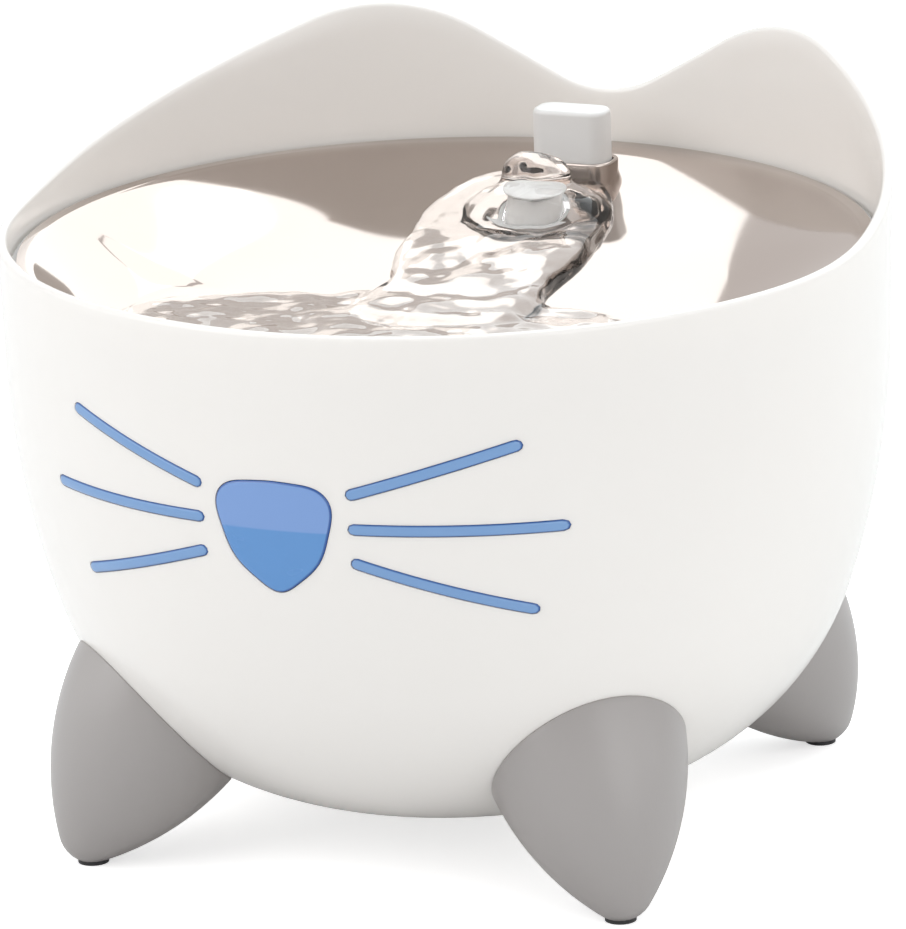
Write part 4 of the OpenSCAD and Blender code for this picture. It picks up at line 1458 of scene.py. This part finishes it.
@dataclass
class Water:
    """Running water: a dome over the nozzle, a tongue down the dish and the pool at the front."""

    tongue: Sequence[Point2] = (
        (-19, -24), (-20.7, 7.5), (-24.7, 19.3), (-30.2, 40.3), (-33.2, 59.6), (-32.6, 73), (-29.5, 86.4),
        (-21, 95), (-10.5, 97), (2.5, 97), (12.5, 91), (19.2, 80.1), (23.5, 63.7), (24.8, 46.7), (25.4, 29.8),
        (25.9, 15), (25, -24),
    )
    shore: Sequence[Point2] = (
        (-88, -38), (-83.5, -23), (-73.7, -12.3), (-62, -9), (-50, -4), (-38, -3.5), (-26, 4), (-12, 5), (6, 6),
        (19.2, 8), (31.5, 3.3), (39.3, 1.5), (48, 0.5), (57, -5), (68, -17), (80, -36),
    )
    stretch: int = 8
    tongue_t: float = 5 * MM
    tongue_low: float = 9 * MM
    pool_low: float = 12 * MM
    pool_past: float = 2 * MM
    pool_front: tuple[float, float, int] = (-25, -155, 80)
    settle: int = 16
    edge_round: float = 3 * MM
    level: float = 1.2 * MM
    dome_at: tuple[float, float, float] = (0, 1 * MM, -5 * MM)
    dome_size: tuple[float, float, float] = (22 * MM, 19 * MM, 9.8 * MM)
    bubble_at: tuple[float, float, float] = (-2.6 * MM, 7 * MM, 5.0 * MM)
    bubble_size: tuple[float, float, float] = (10.6 * MM, 8 * MM, 7.8 * MM)
    voxel: float = 1.0 * MM
    soak: float = 0.45 * MM
    flow: Sequence[Layer] = ((12, 20, 12, 0, 1.3), (5, 8, 5, 0, 0.5))
    chop: Sequence[Layer] = ((12, 9, 9, 5, 1.0), (5, 4, 5, 0, 0.2))
    chop_from: float = 12.0
    chop_over: float = 18.0

    def bead(self, name: str, size: tuple[float, float, float], place: tuple[float, float, float]) -> Object:
        """Models a rounded lump of water."""
        deselect_all()
        bpy.ops.mesh.primitive_uv_sphere_add(segments=48, ring_count=24, radius=1, location=(0, 0, 0))
        lump = named(name)
        lump.data.transform(Matrix.Translation(place) @ Matrix.Diagonal((*size, 1)))
        return lump

    def sheet(self, name: str, points: Sequence[Point2], low: float, top: Callable[[float, float], float]) -> Object:
        """Models a sheet of water: an outline with a rolled upper edge, laid under a height.

        Args:
            name: the new object's name.
            points: its outline.
            low: how far its underside lies under its upper face.
            top: takes a place and gives the height of its upper face.

        Returns:
            The sheet.
        """
        sheet = raised(name, [Vector((x, y, 0)) for x, y in points], (0, 0, low))
        with EditMode(sheet, "FACE") as edit:
            edit.pick(lambda f: f.normal.z > 0.9)
            for width, rise in ((0.5, 0.3), (0.8, 0.2)):
                bpy.ops.mesh.inset(thickness=self.edge_round * width, depth=self.edge_round * rise)
            edit.triangulate()
        crest = low + self.edge_round * 0.5
        for vertex in sheet.data.vertices:
            vertex.co.z += top(vertex.co.x, vertex.co.y) - crest
        return sheet

    def build(self, dish: Dish, nozzle: Nozzle) -> Object:
        """Models the water as one body, remeshed, rippled and laid on the dish's floor.

        Args:
            dish: the dish that it runs over.
            nozzle: the nozzle that it wells out of.

        Returns:
            The water.
        """
        line = curve_through([(x * MM, y * MM) for x, y in self.tongue], self.stretch)
        tongue = self.sheet("tongue", line, self.tongue_low, lambda x, y: dish.floor_at(x, y) + self.tongue_t)
        shore = [(x * MM, y * MM) for x, y in self.shore]
        front = arc(0, 0, dish.wall_at(dish.pool_z) + self.pool_past, *self.pool_front)
        pool = self.sheet("pool", [*shore, *front], self.pool_low, lambda x, y: dish.pool_z + self.level)
        spot = Vector((0, nozzle.middle_y, nozzle.mouth_z))
        dome = self.bead("dome", self.dome_size, spot + Vector(self.dome_at))
        bubble = self.bead("bubble", self.bubble_size, spot + Vector(self.bubble_at))
        water = joined("running_water", [tongue, pool, dome, bubble])
        modify(water, "REMESH", mode="VOXEL", voxel_size=self.voxel)
        modify(water, "SMOOTH", factor=0.5, iterations=self.settle)
        normals = [vertex.normal.copy() for vertex in water.data.vertices]
        for vertex, normal in zip(water.data.vertices, normals):
            vertex.co += normal * self.ripple(vertex.co)
        modify(water, "SMOOTH", factor=0.4, iterations=1)
        for vertex in water.data.vertices:
            flat = Vector((vertex.co.x, vertex.co.y))
            limit = dish.wall_at(vertex.co.z) + self.soak
            if flat.length > limit:
                vertex.co.x, vertex.co.y = flat.normalized() * limit
            vertex.co.z = max(vertex.co.z, dish.height_at(vertex.co.x, vertex.co.y) - self.soak)
        activate(water)
        bpy.ops.object.shade_smooth()
        return finished(water, "dish", Finishes.WATER, None, [])

    def ripple(self, place: Vector) -> float:
        """Height of the ripples at a place: long ones down the tongue, short ones over the pool."""
        x, y, z = (value / MM for value in place)

        def ripples(layers: Sequence[Layer]) -> float:
            """Sum of layers of noise, each with its three lengths, its shift and its height in mm."""
            return sum(noise.noise(Vector((x / a, y / b, z / c + shift))) * rise for a, b, c, shift, rise in layers)

        share = min(max((self.chop_from - y) / self.chop_over, 0.0), 1.0)
        return (ripples(self.flow) * (1 - share) + ripples(self.chop) * share) * MM


def curve_through(points: Sequence[Point2], count: int) -> list[Point2]:
    """Closed smooth curve through points, as a Catmull-Rom spline.

    Args:
        points: the points that it passes, in order.
        count: how many points it has for each stretch.

    Returns:
        The curve's points, in order.
    """
    result = []
    total = len(points)
    for i in range(total):
        a, b, c, d = (Vector(points[(i + k) % total]) for k in (-1, 0, 1, 2))
        for j in range(count):
            t = j / count
            place = 0.5 * (2 * b + (c - a) * t + (2 * a - 5 * b + 4 * c - d) * t**2 + (3 * b - a - 3 * c + d) * t**3)
            result.append((place.x, place.y))
    return result


# ---------------------------------------------------------------- carried-over CAD nodes


CAD_FINISHES: dict[str, Finishes] = {
    "foot_pads": Finishes.RUBBER,
    "nose_seal": Finishes.RUBBER,
    "light_pod": Finishes.FITTING,
    "light_board": Finishes.BOARD,
    "light_lamp": Finishes.LAMP,
    "dish_seal": Finishes.SEAL,
    "float_body": Finishes.FITTING,
    "nozzle_gasket": Finishes.SEAL,
    "nozzle_tube": Finishes.FITTING,
    "riser_tube": Finishes.FITTING,
    "pump_housing": Finishes.HOUSING,
    "pump_cover": Finishes.HOUSING,
    "pump_shaft": Finishes.CERAMIC,
    "shaft_bushes": Finishes.BUSH,
    "impeller": Finishes.IMPELLER,
    "rotor_magnet": Finishes.MAGNET,
    "suction_cups": Finishes.RUBBER,
    "pump_chamber": Finishes.FITTING,
    "filter_frame": Finishes.FOOT,
    "filter_pad": Finishes.FLEECE,
    "power_post": Finishes.HOUSING,
    "post_seal": Finishes.RUBBER,
    "inlet_housing": Finishes.HOUSING,
}


def dress_cad_nodes() -> None:
    """Gives each CAD node that stays in view its finish."""
    for name, finish in CAD_FINISHES.items():
        finish.dress(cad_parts[name])
        LOG.info("%s: CAD node, finish %s", name, finish.value.name)


# ---------------------------------------------------------------- studio


COOL: Colour = (0.92, 0.98, 1.0)


@dataclass(frozen=True)
class SoftBox:
    """One rectangular lamp."""

    name: str
    place: tuple[float, float, float]
    aim: tuple[float, float, float]
    size: tuple[float, float]
    radiance: float
    colour: Colour = (1, 1, 1)

    def build(self) -> None:
        """Adds the lamp, with the power that gives it its radiance."""
        light = bpy.data.lights.new(self.name, "AREA")
        light.shape = "RECTANGLE"
        light.size, light.size_y = self.size
        light.energy = self.radiance * math.pi * self.size[0] * self.size[1]
        light.color = self.colour
        lamp = bpy.data.objects.new(self.name, light)
        lamp.location = self.place
        lamp.rotation_euler = (Vector(self.aim) - Vector(self.place)).to_track_quat("-Z", "Y").to_euler()
        lamp.visible_camera = False
        bpy.context.scene.collection.objects.link(lamp)


@dataclass
class Studio:
    """Floor, background, lamps and camera."""

    azimuth: float = 23.25
    elevation: float = 16.51
    roll: float = -1.95
    distance: float = 2.161
    target_z: float = 0.1
    focal_px: float = 7617.0
    centre_px: Point2 = (452.6, 466.4)
    frame_px: tuple[int, int] = (906, 929)
    sensor: float = 36.0
    clip: float = 0.05
    sky: Colour = (0.98, 0.985, 1.0)
    sky_strength: float = 0.4
    floor_size: float = 12.0
    floor_greys: Point2 = (0.89, 0.91)
    floor_glow: float = 0.6
    lamps: Sequence[SoftBox] = (
        SoftBox("back_softbox", (0.4, 2.3, 2.0), (0, 0, 0.14), (4.2, 2.8), 1.4, COOL),
        SoftBox("top_softbox", (-0.3, 0.2, 2.7), (0, 0, 0.14), (2.6, 2.0), 1.4, COOL),
        SoftBox("key_softbox", (-1.6, -1.6, 1.6), (0, 0, 0.1), (2.2, 2.2), 2.0),
        SoftBox("left_softbox", (-2.2, -0.4, 0.8), (0, 0, 0.1), (1.2, 1.6), 0.6),
        SoftBox("right_softbox", (2.2, 0.3, 0.9), (0, 0, 0.1), (1.2, 1.6), 0.9),
        SoftBox("fill_softbox", (1.9, -1.0, 0.9), (0, 0, 0.1), (1.4, 1.8), 1.5),
    )

    def camera(self) -> None:
        """Places the camera, with the roll and the small shift that the framing needs."""
        a, e, ro = (math.radians(v) for v in (self.azimuth, self.elevation, self.roll))
        back = Vector((math.sin(a) * math.cos(e), -math.cos(a) * math.cos(e), math.sin(e)))
        right = Vector((math.cos(a), math.sin(a), 0))
        up = Vector((-math.sin(a) * math.sin(e), math.cos(a) * math.sin(e), math.cos(e)))
        turned_right = right * math.cos(ro) + up * math.sin(ro)
        turned_up = up * math.cos(ro) - right * math.sin(ro)
        data = bpy.data.cameras.new("camera")
        long_side = max(self.frame_px)
        data.lens = self.focal_px * self.sensor / long_side
        data.sensor_width = self.sensor
        data.shift_x = (self.frame_px[0] / 2 - self.centre_px[0]) / long_side
        data.shift_y = (self.centre_px[1] - self.frame_px[1] / 2) / long_side
        data.clip_start = self.clip
        camera = bpy.data.objects.new("camera", data)
        camera.matrix_world = Matrix.Translation(Vector((0, 0, self.target_z)) + back * self.distance) @ Matrix(
            (turned_right, turned_up, back)
        ).transposed().to_4x4()
        bpy.context.scene.collection.objects.link(camera)
        bpy.context.scene.camera = camera

    def world(self) -> None:
        """White background for what looks at it, softer light for everything else."""
        world = bpy.data.worlds.new("studio")
        bpy.context.scene.world = world
        world.use_nodes = True
        nodes = NodeTree(world.node_tree)
        path = nodes.add("LightPath").outputs
        seen = nodes.math("MAXIMUM", path["Is Camera Ray"], path["Is Glossy Ray"])
        shown = nodes.math("MAXIMUM", seen, path["Is Transmission Ray"])
        fill = nodes.add("Background", {"Color": (*self.sky, 1), "Strength": self.sky_strength})
        white = nodes.add("Background", {"Color": (1, 1, 1, 1), "Strength": 1.0})
        mix = nodes.add("MixShader", {0: shown, 1: fill.outputs[0], 2: white.outputs[0]})
        nodes.add("OutputWorld", {"Surface": mix.outputs[0]})

    def floor(self) -> None:
        """Plain pale floor that keeps the object's shadow."""
        deselect_all()
        bpy.ops.mesh.primitive_plane_add(size=self.floor_size, location=(0, 0, 0))
        floor = named("studio_floor")
        material = bpy.data.materials.new("pale_floor")
        material.use_nodes = True
        nodes = NodeTree(material.node_tree)
        cloud = nodes.add("TexNoise", {"Vector": nodes.place(), "Scale": 3.0})
        dark, pale = ((grey, grey, grey, 1) for grey in self.floor_greys)
        diffuse = nodes.add("BsdfDiffuse", {"Color": nodes.mixed(cloud.outputs["Fac"], dark, pale)})
        glow = nodes.add("Emission", {"Color": (1, 1, 1, 1), "Strength": self.floor_glow})
        both = nodes.add("AddShader", {0: diffuse.outputs[0], 1: glow.outputs[0]})
        path = nodes.add("LightPath")
        mix = nodes.add("MixShader", {0: path.outputs["Is Camera Ray"], 1: diffuse.outputs[0], 2: both.outputs[0]})
        nodes.add("OutputMaterial", {"Surface": mix.outputs[0]})
        floor.data.materials.append(material)

    def build(self) -> None:
        """Sets up the whole studio."""
        self.camera()
        self.world()
        self.floor()
        for lamp in self.lamps:
            lamp.build()
        bpy.context.scene.view_settings.view_transform = "Standard"
        LOG.info("studio: %d lamps", len(self.lamps))


# ---------------------------------------------------------------- everything


def main() -> None:
    """Builds every sub-assembly in order."""
    logging.basicConfig(level=logging.INFO, format="%(name)s %(message)s")
    bowl = Bowl()
    face = Face()
    dish = Dish()
    nozzle = Nozzle()
    bowl.build(face)
    face.build(bowl)
    Feet().build(bowl)
    dish.build()
    LevelFloat().build(dish)
    nozzle.build()
    Water().build(dish, nozzle)
    dress_cad_nodes()
    Studio().build()


if __name__ == "__main__":
    main()
